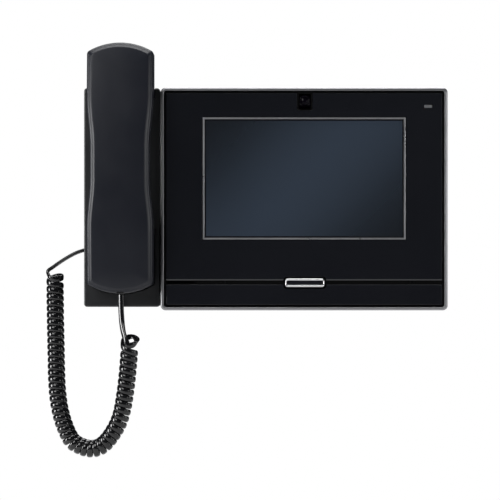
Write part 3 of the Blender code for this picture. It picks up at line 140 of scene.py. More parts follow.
class Surface:
    """A Principled material and short ways to add noise to its colour, roughness and relief."""

    def __init__(self, name, colour, roughness, metallic=0.0):
        self.name = name
        self.material = bpy.data.materials.new(name)
        self.material.use_nodes = True
        self.tree = self.material.node_tree
        self.shader = self.tree.nodes["Principled BSDF"]
        self.value("Base Color", (*colour, 1.0)).value("Roughness", roughness).value("Metallic", metallic)
        self.colour = colour
        self.roughness = roughness
        self.place = self.add("TexCoord").outputs["Object"]

    def add(self, kind, inputs=None, **settings):
        """A new shader node with its settings and its inputs' values."""
        node = self.tree.nodes.new("ShaderNode" + kind)
        for key, value in settings.items():
            setattr(node, key, value)
        for socket, value in (inputs or {}).items():
            node.inputs[socket].default_value = value
        return node

    def link(self, start, end):
        self.tree.links.new(start, end)

    def value(self, socket, number):
        """Sets one of the shader's own sockets."""
        self.shader.inputs[socket].default_value = number
        return self

    def noise(self, scale, detail=3.0, stretch=(1.0, 1.0, 1.0)):
        """Noise with features of about 1 / scale metres, its coordinates stretched along each axis."""
        mapping = self.add("Mapping", {"Scale": stretch})
        self.link(self.place, mapping.inputs["Vector"])
        texture = self.add("TexNoise", {"Scale": scale, "Detail": detail, "Roughness": 0.55})
        self.link(mapping.outputs["Vector"], texture.inputs["Vector"])
        return texture.outputs["Fac"]

    def cells(self, scale):
        """Distance to the nearest of scattered points, with cells of about 1 / scale metres."""
        texture = self.add("TexVoronoi", {"Scale": scale})
        self.link(self.place, texture.inputs["Vector"])
        return texture.outputs["Distance"]

    def stripes(self, scale, direction="X", distortion=0.0):
        """Straight bands across one axis."""
        texture = self.add("TexWave", {"Scale": scale, "Distortion": distortion},
                           wave_type="BANDS", bands_direction=direction)
        self.link(self.place, texture.inputs["Vector"])
        return texture.outputs["Fac"]

    def ramp(self, factor, low, high, start=0.0, end=1.0):
        """A value from start to end as factor goes from low to high."""
        limits = {"From Min": low, "From Max": high, "To Min": start, "To Max": end}
        fit = self.add("MapRange", limits)
        self.link(factor, fit.inputs["Value"])
        return fit.outputs["Result"]

    def vary_colour(self, factor, other, low=0.3, high=0.7):
        """Base colour between what it is so far and another."""
        mix = self.add("Mix", {6: (*self.colour, 1.0), 7: (*other, 1.0)}, data_type="RGBA")
        socket = self.shader.inputs["Base Color"]
        if socket.is_linked:
            self.link(socket.links[0].from_socket, mix.inputs[6])
        self.link(self.ramp(factor, low, high), mix.inputs["Factor"])
        self.link(mix.outputs[2], socket)
        return self

    def relief(self, factor, height):
        """Bump of that height in metres."""
        bump = self.add("Bump", {"Strength": 1.0, "Distance": height})
        self.link(factor, bump.inputs["Height"])
        previous = self.shader.inputs["Normal"]
        if previous.is_linked:
            self.link(previous.links[0].from_socket, bump.inputs["Normal"])
        self.link(bump.outputs["Normal"], previous)
        return self

    def tint(self, other, *noise):
        """Base colour that drifts to another with noise."""
        return self.vary_colour(self.noise(*noise), other)

    def wear(self, spread, *noise):
        """Roughness that varies with noise, by spread either way."""
        rough = self.ramp(self.noise(*noise), 0.35, 0.65, self.roughness - spread, self.roughness + spread)
        self.link(rough, self.shader.inputs["Roughness"])
        return self

    def grain(self, height, *noise):
        """Relief from noise."""
        return self.relief(self.noise(*noise), height)


def make_case_black():
    """Moulded black plastic with a fine grain."""
    surface = Surface("case_black", (0.0058, 0.0061, 0.0072), 0.42)
    surface.tint((0.0085, 0.0088, 0.0100), 24.0, 4.0).wear(0.06, 55.0, 5.0)
    return surface.grain(0.012 * MM, 2600.0, 2.0).relief(surface.cells(1500.0), 0.008 * MM)


def make_charcoal():
    """Satin charcoal plastic: tiny grain and a slow drift of colour and shine."""
    surface = Surface("charcoal", (0.0080, 0.0090, 0.0132), 0.38)
    surface.tint((0.0092, 0.0102, 0.0148), 18.0, 4.0).wear(0.05, 30.0, 5.0)
    surface.grain(0.010 * MM, 3000.0, 2.0).relief(surface.cells(1900.0), 0.006 * MM)
    return surface.value("Specular IOR Level", 0.24)


def make_screen_glass():
    """Touch glass over a display that is off: slate, with a painted sheen in its colour that is lighter
    along one diagonal and darker away from it, under a glossy coat.
    """
    surface = Surface("screen_glass", (0.0265, 0.0362, 0.0520), 0.10)
    diagonal = surface.add("VectorMath", {1: (0.7071, 0.0, -0.7071)}, operation="DOT_PRODUCT")
    surface.link(surface.place, diagonal.inputs[0])
    offset = surface.add("Math", {1: 0.0119}, operation="ADD")
    surface.link(diagonal.outputs["Value"], offset.inputs[0])
    distance = surface.add("Math", operation="ABSOLUTE")
    surface.link(offset.outputs[0], distance.inputs[0])
    # painted sheen: the base colour runs from light slate on the diagonal band to near black away from it
    ramp = surface.add("ValToRGB")
    ramp.color_ramp.interpolation = "B_SPLINE"
    painted_sheen_stops = [(0.0, (0.0285, 0.0392, 0.0575)), (0.30, (0.0260, 0.0355, 0.0510)),
             (0.62, (0.0158, 0.0212, 0.0300)), (1.0, (0.0078, 0.0094, 0.0122))]
    elements = ramp.color_ramp.elements
    while len(elements) < len(painted_sheen_stops):
        elements.new(0.5)
    for element, (place, colour) in zip(elements, painted_sheen_stops):
        element.position = place
        element.color = (*colour, 1.0)
    surface.link(surface.ramp(distance.outputs[0], 0.0, 0.082), ramp.inputs["Fac"])
    surface.link(ramp.outputs["Color"], surface.shader.inputs["Base Color"])
    return surface.wear(0.03, 26.0, 5.0).value("Coat Weight", 0.4).value("Coat Roughness", 0.06)


def make_lens_glass():
    """Coated lens: nearly black, very smooth, with a trace of violet."""
    surface = Surface("lens_glass", (0.0020, 0.0018, 0.0028), 0.12)
    surface.vary_colour(surface.cells(260.0), (0.0030, 0.0020, 0.0048), 0.0, 0.6).wear(0.03, 300.0)
    return surface.value("Specular IOR Level", 0.12)


def make_board_green():
    """Solder mask over copper tracks, which show as paler raised lines."""
    surface = Surface("board_green", (0.012, 0.085, 0.035), 0.36)
    surface.vary_colour(surface.stripes(150.0, "X", 3.0), (0.020, 0.135, 0.055), 0.55, 0.75)
    surface.vary_colour(surface.stripes(90.0, "Z", 2.0), (0.016, 0.110, 0.046), 0.7, 0.85)
    return surface.wear(0.07, 120.0).relief(surface.stripes(150.0, "X", 3.0), 0.03 * MM)


def make_ribbon_amber():
    """Polyimide film with copper lines running along it."""
    surface = Surface("ribbon_amber", (0.42, 0.17, 0.02), 0.38)
    surface.vary_colour(surface.stripes(300.0, "X"), (0.62, 0.33, 0.10), 0.4, 0.6).wear(0.08, 200.0)
    return surface.relief(surface.stripes(300.0, "X"), 0.03 * MM)


MATERIALS = {surface.name: surface.material for surface in (
    # polished acrylic: deep black, hairline polishing marks and faint smudges
    Surface("gloss_black", (0.0050, 0.0055, 0.0076), 0.11)
    .tint((0.0066, 0.0071, 0.0094), 9.0).wear(0.045, 36.0, 5.0, (1.0, 1.0, 2.2))
    .grain(0.004 * MM, 70.0, 2.0).value("IOR", 1.49),
    # painted shade: a matt black darker than the case, for the front case and camera surround, so the groove
    # and the gaps behind the panels read as shaded
    Surface("shade_black", (0.0009, 0.0009, 0.0010), 0.60)
    .tint((0.0016, 0.0016, 0.0018), 40.0, 4.0).wear(0.08, 80.0, 4.0).value("Specular IOR Level", 0.08),
    # metallised plastic with a faint brushed direction; the darker of two copies of one silver, darkened as
    # painted shade
    Surface("rim_silver", (0.27, 0.27, 0.28), 0.34, metallic=0.85)
    .tint((0.25, 0.25, 0.26), 60.0, 4.0).wear(0.03, 180.0, 4.0, (1.0, 1.0, 0.2)),
    # painted light: a brighter copy of the rim's silver for the thin line round the screen, its extra
    # brightness standing in for light
    Surface("lit_frame_silver", (0.52, 0.52, 0.535), 0.30, metallic=0.9)
    .tint((0.48, 0.48, 0.495), 60.0, 4.0).wear(0.03, 180.0, 4.0, (0.2, 1.0, 0.2)),
    # bright plating over moulded plastic, with the slight waviness that plating shows
    Surface("chrome", (0.70, 0.70, 0.71), 0.12, metallic=1.0)
    .tint((0.66, 0.66, 0.675), 120.0).wear(0.03, 340.0, 4.0).grain(0.003 * MM, 160.0, 2.0),
    # frosted light window: cloudy
    Surface("clear_grey", (0.105, 0.108, 0.114), 0.34)
    .tint((0.125, 0.129, 0.135), 900.0).wear(0.06, 1500.0).grain(0.01 * MM, 2400.0, 2.0)
    .value("Subsurface Weight", 0.15).value("Subsurface Scale", 0.0008),
    # zinc-plated steel: cloudy plating and faint rolling marks
    Surface("steel", (0.50, 0.51, 0.53), 0.40, metallic=1.0)
    .tint((0.43, 0.445, 0.47), 45.0, 5.0).wear(0.05, 240.0, 4.0, (0.12, 1.0, 1.0))
    .grain(0.002 * MM, 900.0, 2.0, (0.05, 1.0, 1.0)),
    # the back film of the display: fine grey fibre
    Surface("display_grey", (0.24, 0.24, 0.25), 0.62)
    .tint((0.19, 0.19, 0.20), 700.0, 4.0).wear(0.08, 200.0).grain(0.02 * MM, 1500.0),
    # dull black elastomer with fine pores
    Surface("soft_rubber", (0.010, 0.010, 0.011), 0.66)
    .tint((0.016, 0.016, 0.017), 300.0, 4.0).wear(0.08, 400.0).grain(0.02 * MM, 2200.0),
    # gold-flashed contact springs
    Surface("contact_gold", (0.78, 0.52, 0.20), 0.22, metallic=1.0)
    .tint((0.66, 0.43, 0.16), 900.0).wear(0.06, 1200.0),
    # glossy PVC with faint flow marks
    Surface("cord_black", (0.0020, 0.0020, 0.0024), 0.13)
    .tint((0.0045, 0.0045, 0.0052), 140.0).wear(0.04, 260.0, 4.0).grain(0.004 * MM, 800.0, 2.0)
    .value("Specular IOR Level", 0.44),
    make_case_black(), make_charcoal(), make_screen_glass(), make_lens_glass(), make_board_green(),
    make_ribbon_amber(),
)}


# ---------- shared mesh tools

def finish_mesh(bm, smooth_angle=35.0):
    """A mesh with outward faces, smooth where its faces meet at a small angle."""
    bmesh.ops.remove_doubles(bm, verts=bm.verts, dist=0.001 * MM)
    bmesh.ops.recalc_face_normals(bm, faces=bm.faces)
    mesh = bpy.data.meshes.new("mesh")
    bm.to_mesh(mesh)
    bm.free()
    mesh.shade_smooth()
    mesh.set_sharp_from_angle(angle=math.radians(smooth_angle))
    return mesh


def place_piece(name, mesh, slot, body, *stands_for, material=None):
    """A new piece with its material, which rides on a body and may stand for CAD nodes."""
    mesh.name = name
    piece = new_object(name, mesh)
    mesh.materials.clear()
    mesh.materials.append(material or MATERIALS[slot])
    if body:
        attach(piece, body)
    if stands_for:
        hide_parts(*stands_for)
    return piece


def soften(piece, width, segments=2, angle=30.0):
    """Small radii along the piece's sharp edges."""
    bevel = piece.modifiers.new("edge_radius", "BEVEL")
    bevel.width = width
    bevel.segments = segments
    bevel.limit_method = "ANGLE"
    bevel.angle_limit = math.radians(angle)
    bevel.use_clamp_overlap = True
    bevel.harden_normals = True
    flatten = piece.modifiers.new("flat_faces", "WEIGHTED_NORMAL")
    flatten.keep_sharp = True
    return piece


def outline(x, z, corner, steps=6):
    """A rounded rectangle between two x and two z, as (x, z) points."""
    points = []
    radius = max(corner, 0.03 * MM)
    ends = [(x[1], z[1]), (x[0], z[1]), (x[0], z[0]), (x[1], z[0])]
    for quarter, (end_x, end_z) in enumerate(ends):
        side_x = 1 if end_x == x[1] else -1
        side_z = 1 if end_z == z[1] else -1
        for step in range(steps + 1):
            angle = (quarter + step / steps) * math.pi / 2
            points.append((end_x - side_x * radius + radius * math.cos(angle),
                           end_z - side_z * radius + radius * math.sin(angle)))
    return points


def stack(rings, closed=False, caps=True):
    """A bmesh through rings of points; closed joins the last ring to the first."""
    bm = bmesh.new()
    levels = [[bm.verts.new(point) for point in ring] for ring in rings]
    pairs = list(zip(levels, levels[1:]))
    if closed:
        pairs.append((levels[-1], levels[0]))
    count = len(levels[0])
    for low, high in pairs:
        for index in range(count):
            after = (index + 1) % count
            bm.faces.new([low[index], low[after], high[after], high[index]])
    if caps and not closed:
        bm.faces.new(levels[0])
        bm.faces.new(list(reversed(levels[-1])))
    return bm


def raised(points, depth):
    """(x, z) points as 3-D points at one depth."""
    return [(x, -depth, z) for x, z in points]


def rounded_rings(x, z, corner, profile, steps, corner_loss=1.0):
    """A rounded rectangle's ring at each (inset, depth); corners shrink by corner_loss of the inset."""
    return [raised(outline((x[0] + inset, x[1] - inset), (z[0] + inset, z[1] - inset),
                           corner - inset * corner_loss, steps), depth) for inset, depth in profile]


def framed(x, z, corner, profile, corner_steps=6, corner_loss=1.0):
    """A frame: a closed profile of (inset, depth) swept round a rounded rectangle."""
    rings = rounded_rings(x, z, corner, profile, corner_steps, corner_loss)
    return finish_mesh(stack(rings, closed=True))


def plate(x, z, corner, profile, corner_steps=6):
    """A plate from rings of (inset, depth), capped at both ends, with a narrow flat rim at the last."""
    last_inset, last_depth = profile[-1]
    rim = (last_inset + 0.1 * MM, last_depth)
    return finish_mesh(stack(rounded_rings(x, z, corner, profile + [rim], corner_steps)))


def metres(pairs):
    """Pairs of millimetres as pairs of metres."""
    return [(a * MM, b * MM) for a, b in pairs]


def centred(middle, size):
    return (middle - size / 2, middle + size / 2)


def rod(start, end, radius, segments=24):
    """A round rod between two points, for cutting and joining."""
    start = Vector(start)
    end = Vector(end)
    turn = (end - start).to_track_quat("Z", "Y").to_matrix().to_4x4()
    bm = bmesh.new()
    bmesh.ops.create_cone(bm, cap_ends=True, segments=segments, radius1=radius, radius2=radius,
                          depth=(end - start).length, matrix=Matrix.Translation((start + end) / 2) @ turn)
    return finish_mesh(bm)


def depth_rod(x, z, start, end, radius, segments=16):
    """A round rod from one depth to another."""
    return rod((x, -start, z), (x, -end, z), radius, segments)


def box_mesh(x, depth, z, corner=0.0):
    """A block between two x, two depths and two z, its front-to-back edges rounded."""
    return plate(x, z, corner, [(0.0, depth[0]), (0.0, depth[1])], 5)


def combine(mesh, tools, operation="DIFFERENCE"):
    """The mesh with each tool cut from it or joined to it."""
    parts = [new_object("part", part) for part in (mesh, *tools)]
    base = parts[0]
    for helper in parts[1:]:
        modifier = base.modifiers.new("combine", "BOOLEAN")
        modifier.operation = operation
        modifier.object = helper
        modifier.solver = "EXACT"
    depsgraph = bpy.context.evaluated_depsgraph_get()
    result = bpy.data.meshes.new_from_object(base.evaluated_get(depsgraph))
    for part in parts:
        bpy.data.objects.remove(part, do_unlink=True)
    result.shade_smooth()
    result.set_sharp_from_angle(angle=math.radians(30.0))
    return result


def add_face(bm, corners):
    """A face through its corners, where the same corner may come twice."""
    corners = list(dict.fromkeys(corners))
    if len(corners) > 2:
        bm.faces.new(corners)


def turned(profile, base, direction, steps=48):
    """A turned solid: (radius, height) points from the axis at the top, round its outside, to the axis."""
    along = Vector(direction).normalized()
    turn = along.to_track_quat("Z", "Y").to_matrix()
    bm = bmesh.new()
    rings = []
    for radius, height in profile:
        if radius == 0.0:
            rings.append([bm.verts.new(Vector(base) + along * height)])
            continue
        ring = []
        for step in range(steps):
            angle = FULL_TURN * step / steps
            spoke = turn @ Vector((radius * math.cos(angle), radius * math.sin(angle), height))
            ring.append(bm.verts.new(Vector(base) + spoke))
        rings.append(ring)
    for ring, following in zip(rings, rings[1:]):
        for step in range(steps):
            after = (step + 1) % steps
            add_face(bm, [ring[step % len(ring)], ring[after % len(ring)],
                          following[after % len(following)], following[step % len(following)]])
    return finish_mesh(bm)


def smoothstep(t):
    t = min(1.0, max(0.0, t))
    return t * t * (3.0 - 2.0 * t)


def bell(value, middle, width):
    return math.exp(-((value - middle) / width) ** 2)


# ---------- cord

# the routes' points in mm: x, depth, z
COIL_ROUTE = [(-198.1, 14.0, -59.6), (-198.0, 14.5, -80.0), (-197.3, 16.5, -112.0),
              (-195.9, 20.5, -150.0), (-192.2, 23.5, -172.0), (-184.9, 26.5, -189.4),
              (-177.2, 28.0, -195.3), (-167.6, 29.5, -197.4), (-158.8, 31.0, -194.0),
              (-150.5, 32.7, -183.8), (-144.6, 34.2, -171.0), (-141.0, 35.8, -152.0),
              (-138.6, 37.2, -130.0), (-137.1, 38.0, -108.0)]
BASE_LEAD_ROUTE = [(-174.7, 15.0, -40.2), (-181.0, 15.0, -42.4), (-187.1, 14.6, -45.5),
                   (-193.4, 14.0, -49.4), (-200.0, 13.0, -54.0), (-204.2, 12.6, -57.4)]
HANDSET_LEAD_ROUTE = [(-144.5, 37.0, -75.4), (-144.4, 37.1, -83.0), (-144.1, 37.6, -90.4),
                      (-143.5, 38.6, -98.0), (-142.4, 40.4, -104.8), (-140.7, 42.4, -110.2)]
CORD_WIDTH = 4.9 * MM                 # flat cord: its wide side lies along the coil's axis
CORD_THICKNESS = 2.5 * MM
CORD_FLATNESS = 0.90                  # 1 is an ellipse; less has flatter sides
COIL_MEAN_RADIUS = 5.75 * MM
COIL_PITCH = (5.1 * MM, 4.45 * MM, 5.25 * MM)   # hanging left side, bend, right side
COIL_START_Z = -61.2 * MM             # the first turn's left end
COIL_END_Z = -112.4 * MM              # the last turn's left end
COIL_JOIN_START = 0.10                # turns left out at each end, where the leads take over
COIL_JOIN_END = 0.27
POINTS_PER_TURN = 20
CORD_SIDES = 16
LEAD_SPACING = 1.8 * MM


def route_points(route):
    """A route in millimetres and depths as points in the row frame."""
    return [Vector((x * MM, -depth * MM, z * MM)) for x, depth, z in route]


def path_length(points):
    return sum((b - a).length for a, b in zip(points, points[1:]))


def smooth_line(points, spacing):
    """Points a fixed distance apart on a Catmull-Rom curve through the given ones."""
    fine = []
    steps = 24
    for index in range(len(points) - 1):
        p1, p2 = points[index], points[index + 1]
        p0 = points[index - 1] if index else p1 * 2 - p2
        p3 = points[index + 2] if index + 2 < len(points) else p2 * 2 - p1
        for step in range(steps):
            t = step / steps
            fine.append(0.5 * ((2 * p1) + (p2 - p0) * t + (2 * p0 - 5 * p1 + 4 * p2 - p3) * t * t
                               + (3 * p1 - p0 - 3 * p2 + p3) * t ** 3))
    fine.append(points[-1].copy())
    total = path_length(fine)
    count = max(2, round(total / spacing))
    wanted = [total * index / count for index in range(count + 1)]
    found = []
    travelled = 0.0
    for a, b in zip(fine, fine[1:]):
        length = (b - a).length
        while len(found) < count and wanted[len(found)] <= travelled + length:
            share = (wanted[len(found)] - travelled) / length
            found.append(a.lerp(b, share))
        travelled += length
    found.append(fine[-1].copy())
    return found


def coil_points():
    """Centre of the cord along its coil and the coil's direction there, turn by turn."""
    axis = smooth_line(route_points(COIL_ROUTE), 0.25 * MM)
    across = Vector((-1, 0, 0))
    lowest = min(range(len(axis)), key=lambda index: axis[index].z)
    turns = []
    frames = []
    turn = 0.0
    for index, centre in enumerate(axis):
        before = axis[max(index - 1, 0)]
        after = axis[min(index + 1, len(axis) - 1)]
        ahead = (after - before).normalized()
        across = (across - ahead * across.dot(ahead)).normalized()
        spare = min(1.0, abs(index - lowest) / (0.22 * len(axis)))
        side_pitch = COIL_PITCH[0] if index < lowest else COIL_PITCH[2]
        pitch = COIL_PITCH[1] + (side_pitch - COIL_PITCH[1]) * spare
        turn += (centre - before).length / pitch
        turns.append(turn)
        frames.append((centre, ahead, across.copy()))

    def turn_at(side, z):
        places = range(lowest) if side < 0 else range(lowest, len(axis))
        return turns[min(places, key=lambda index: abs(axis[index].z - z))]

    first = turn_at(-1, COIL_START_Z)
    span = turn_at(1, COIL_END_Z) - first
    whole = round(span - 0.5) + 0.5
    found = []
    wanted = COIL_JOIN_START
    for value, (centre, ahead, side) in zip(turns, frames):
        turn = (value - first) * whole / span
        if turn < wanted or turn > whole - COIL_JOIN_END:
            continue
        wanted += 1.0 / POINTS_PER_TURN
        back = ahead.cross(side)
        angle = FULL_TURN * turn
        from_top = whole - turn
        outwards = side * math.cos(angle) - back * math.sin(angle)
        lift = (3.4 * bell(turn, 0.70, 0.26) - 1.2 * bell(turn, 0.25, 0.18)
                + 7.8 * bell(from_top, 0.75, 0.30) - 1.3 * bell(from_top, 0.30, 0.15)) * MM
        tilt = 1.6 * MM * math.exp(-from_top / 2.0) * math.cos(angle)
        point = centre + outwards * COIL_MEAN_RADIUS
        point = point + Vector((0, 0, lift - tilt))
        roll = 1.2 * bell(from_top, 0.75, 0.22)
        found.append((point, ahead * math.cos(roll) + outwards * math.sin(roll)))
    return found


def cord_line():
    """Ring centres and wide directions of the whole cord, from the cradle to the handset."""
    coil = coil_points()
    base = route_points(BASE_LEAD_ROUTE)
    handset = list(reversed(route_points(HANDSET_LEAD_ROUTE)))
    knots = base + [point for point, ahead in coil] + handset
    line = smooth_line(knots, LEAD_SPACING)
    base_reach = path_length(base) + 4 * MM
    handset_reach = path_length(handset) + 4 * MM
    total = LEAD_SPACING * (len(line) - 1)
    axes = [ahead for point, ahead in coil]
    rings = []
    for index, point in enumerate(line):
        travelled = LEAD_SPACING * index
        share = (travelled - base_reach) / max(total - base_reach - handset_reach, MM)
        wide = axes[min(len(axes) - 1, max(0, round(share * (len(axes) - 1))))]
        if travelled < 1.35 * base_reach:
            twist = smoothstep((travelled - 0.85 * base_reach) / (0.5 * base_reach))
            wide = Vector((0, -1, 0.35)).lerp(-wide, twist)
        if total - travelled < handset_reach:
            twist = smoothstep((total - travelled - 12 * MM) / (handset_reach - 12 * MM))
            wide = Vector((0.86, -0.51, 0)).lerp(wide, twist)
        rings.append((point, wide))
    return rings


def make_cord():
    """One flat cord: the lead from the cradle, the coil and the lead to the handset."""
    line = cord_line()
    rings = []
    thin_before = None
    for index, (centre, wide) in enumerate(line):
        ahead = (line[min(index + 1, len(line) - 1)][0] - line[max(index - 1, 0)][0]).normalized()
        wide_axis = (wide - ahead * wide.dot(ahead)).normalized()
        thin_axis = ahead.cross(wide_axis)
        if thin_before is not None and thin_axis.dot(thin_before) < 0:
            wide_axis = -wide_axis
            thin_axis = -thin_axis
        thin_before = thin_axis
        ring = []
        for side in range(CORD_SIDES):
            angle = FULL_TURN * side / CORD_SIDES
            across, up = [math.copysign(abs(part) ** CORD_FLATNESS, part)
                          for part in (math.cos(angle), math.sin(angle))]
            ring.append(centre + wide_axis * (across * CORD_WIDTH / 2)
                        + thin_axis * (up * CORD_THICKNESS / 2))
        rings.append(ring)
    cord = place_piece("curly_cord", finish_mesh(stack(rings), 60.0), "cord_black", None,
                       "cord_lead_base", "cord_coil_left", "cord_coil_right", "cord_lead_handset")
    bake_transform(cord)


# ---------- handset

HANDSET_X = -144.5 * MM
HANDSET_TOP = 122.7 * MM
HANDSET_BOTTOM = -74.5 * MM
HANDSET_MIDDLE = (HANDSET_TOP + HANDSET_BOTTOM) / 2
HANDSET_END_RADIUS = 49.0 * MM
HANDSET_CORNER = 3.2 * MM
HANDSET_HALF_WIDTH = 26.1 * MM
WAIST_HALF_WIDTH = 23.4 * MM
WAIST_Z = (14.0 * MM, 41.0 * MM)
SHOULDER_Z = (-22.0 * MM, 80.0 * MM)
HANDSET_CROWN_DEPTH = 62.0 * MM
HANDSET_END_DROP = 8.0 * MM
FACE_CROWN = 0.8 * MM
PARTING_DROP = 10.0 * MM
PARTING_GAP = 0.3 * MM
SHELL_WALL = 2.0 * MM
GRIP_BACK_DEPTH = 44.0 * MM
EAR_BACK_DEPTH = 22.0 * MM
EAR_STEP_Z = 79.5 * MM
MOUTH_BACK_DEPTH = 29.7 * MM
MOUTH_TOP_Z = -30.0 * MM
MOUTH_SLOPE_Z = -10.0 * MM
BACK_EDGE_RADIUS = 4.0 * MM
RECEIVER_Z = 101.0 * MM
HANDSET_MIC_Z = -52.0 * MM
HANDSET_SCREW_Z = (66.0 * MM, 4.0 * MM)
CORD_EXIT_DEPTH = 37.0 * MM
HOOK_SLOPE = math.tan(math.radians(40.0))
FACE_MIDDLE_INSET = 19.0 * MM


def handset_half_width(z):
    """Half the handset's width at height z: full at both ends and pinched at the grip."""
    above = smoothstep((z - WAIST_Z[1]) / (SHOULDER_Z[1] - WAIST_Z[1]))
    below = smoothstep((WAIST_Z[0] - z) / (WAIST_Z[0] - SHOULDER_Z[0]))
    return WAIST_HALF_WIDTH + (HANDSET_HALF_WIDTH - WAIST_HALF_WIDTH) * max(above, below)


def face_depth(z):
    """Depth of the outer face's centre line, a shallow arch along the handset."""
    reach = (HANDSET_TOP - HANDSET_BOTTOM) / 2
    return HANDSET_CROWN_DEPTH - HANDSET_END_DROP * ((z - HANDSET_MIDDLE) / reach) ** 2


def back_depth(z):
    """Depth of the inner face: ear end, grip and mouth end."""
    if z >= EAR_STEP_Z - 0.01 * MM:
        return EAR_BACK_DEPTH
    towards_mouth = smoothstep((MOUTH_SLOPE_Z - z) / (MOUTH_SLOPE_Z - MOUTH_TOP_Z))
    return GRIP_BACK_DEPTH + (MOUTH_BACK_DEPTH - GRIP_BACK_DEPTH) * towards_mouth


def inner_back_depth(z):
    """The inner face of the wall behind the ear end, grip and mouth end."""
    if EAR_STEP_Z - 0.01 * MM <= z < EAR_STEP_Z + SHELL_WALL - 0.01 * MM:
        return GRIP_BACK_DEPTH + SHELL_WALL
    return back_depth(z) + SHELL_WALL


def end_arc(inset, upwards, arc_steps=14, corner_steps=8):
    """Right half of one rounded end, from its tip to the side: (x, z) points."""
    tip = HANDSET_TOP if upwards else HANDSET_BOTTOM
    sign = 1.0 if upwards else -1.0
    centre_z = tip - sign * HANDSET_END_RADIUS
    radius = HANDSET_END_RADIUS - inset
    half = HANDSET_HALF_WIDTH - inset
    corner = HANDSET_CORNER
    corner_x = half - corner
    corner_rise = math.sqrt((radius - corner) ** 2 - corner_x ** 2)
    meeting = math.atan2(corner_x, corner_rise)
    points = []
    for step in range(arc_steps + 1):
        angle = meeting * step / arc_steps
        points.append((radius * math.sin(angle), centre_z + sign * radius * math.cos(angle)))
    for step in range(1, corner_steps + 1):
        angle = meeting + (math.pi / 2 - meeting) * step / corner_steps
        points.append((corner_x + corner * math.sin(angle),
                       centre_z + sign * (corner_rise + corner * math.cos(angle))))
    return points


def side_heights():
    """Heights of the handset's cross-sections, close together where its outline or back turns."""
    heights = [105, 102, 99, 96, 93, 90, 87, 84.5, 82, 81.5, 81.2, 79.5, 79.2, 77]
    heights += [74 - 3 * step for step in range(33)]
    heights += [-24.5, -26, -28, -30, -32, -36, -40, -44, -48, -52, -56, -59]
    return [height * MM for height in heights]


SIDE_HEIGHTS = side_heights()


def handset_ring(inset, depth):
    """The handset's outline at an inset, as a closed ring of 3-D points; depth is a function of z."""
    upper = end_arc(inset, upwards=True)
    lower = end_arc(inset, upwards=False)
    sides = [(handset_half_width(z) - inset, max(lower[-1][1], min(upper[-1][1], z)))
             for z in SIDE_HEIGHTS]
    right = upper + sides + list(reversed(lower))
    ring = [(HANDSET_X + x, -depth(z), z) for x, z in right]
    ring += [(HANDSET_X - x, -depth(z), z) for x, z in reversed(right[1:-1])]
    return ring


def close_across(bm, ring):
    """Faces across a handset ring, from its right side to its left."""
    half = len(ring) // 2
    for index in range(half):
        add_face(bm, [ring[index], ring[index + 1],
                      ring[-(index + 1) % len(ring)], ring[-index % len(ring)]])


def shell(outside, inside):
    """A hollow half of the handset: outside and inside rings, meeting at the parting line."""
    bm = stack(outside + inside, caps=False)
    corners = list(bm.verts)
    count = len(outside[0])
    close_across(bm, corners[:count])
    close_across(bm, corners[-count:])
    return finish_mesh(bm, 32.0)


def face_at(drop):
    """The outer face's depth less a drop, as a function of z."""
    return lambda z: face_depth(z) - drop


def face_rings(profile):
    """Rings at (inset, drop from the outer face), both in millimetres."""
    return [handset_ring(inset * MM, face_at(drop * MM)) for inset, drop in profile]


def crown_drop(inset):
    """How far the face has fallen away from its middle at an inset from the edge."""
    return FACE_CROWN * ((FACE_MIDDLE_INSET - inset) / (FACE_MIDDLE_INSET - 3.7 * MM)) ** 2


def make_handset_outer():
    """Outer shell: a crowned face, a two-step chamfer with a fine line in it, and a cord notch."""
    outside = [handset_ring(inset * MM, face_at(crown_drop(inset * MM)))
               for inset in (19.0, 15.0, 11.0, 8.0, 6.0, 4.9, 4.3)]
    outside += face_rings([(4.00, 0.86), (3.80, 0.98), (3.55, 1.18), (2.40, 2.10), (2.25, 2.30),
                           (2.15, 2.36), (2.05, 2.33), (1.90, 2.42), (1.05, 3.08), (0.85, 3.32),
                           (0.72, 3.75), (0.55, 4.60), (0.30, 6.20), (0.08, 8.00), (0.0, 9.00),
                           (0.0, 9.75), (0.12, 10.0)])
    inside = face_rings([(1.9, 10.0), (2.0, 9.8), (2.0, 5.8), (3.2, 4.2), (5.2, 3.0), (19.0, 2.2)])
    mesh = shell(outside, inside)
    boss_start = GRIP_BACK_DEPTH + SHELL_WALL + PARTING_GAP
    bosses = [depth_rod(HANDSET_X, z, boss_start, face_depth(z) - MM, 3.0 * MM, 24)
              for z in HANDSET_SCREW_Z]
    cuts = [depth_rod(HANDSET_X, z, 40 * MM, 54 * MM, 1.5 * MM) for z in HANDSET_SCREW_Z]
    cuts.append(box_mesh(centred(HANDSET_X, 5.6 * MM), (40 * MM, 60 * MM),
                         (HANDSET_BOTTOM - 5 * MM, HANDSET_BOTTOM + 1.6 * MM), 0.5 * MM))
    mesh = combine(combine(mesh, bosses, "UNION"), cuts)
    place_piece("handset_outer_shell_fine", mesh, "charcoal", "handset", "handset_outer_shell")


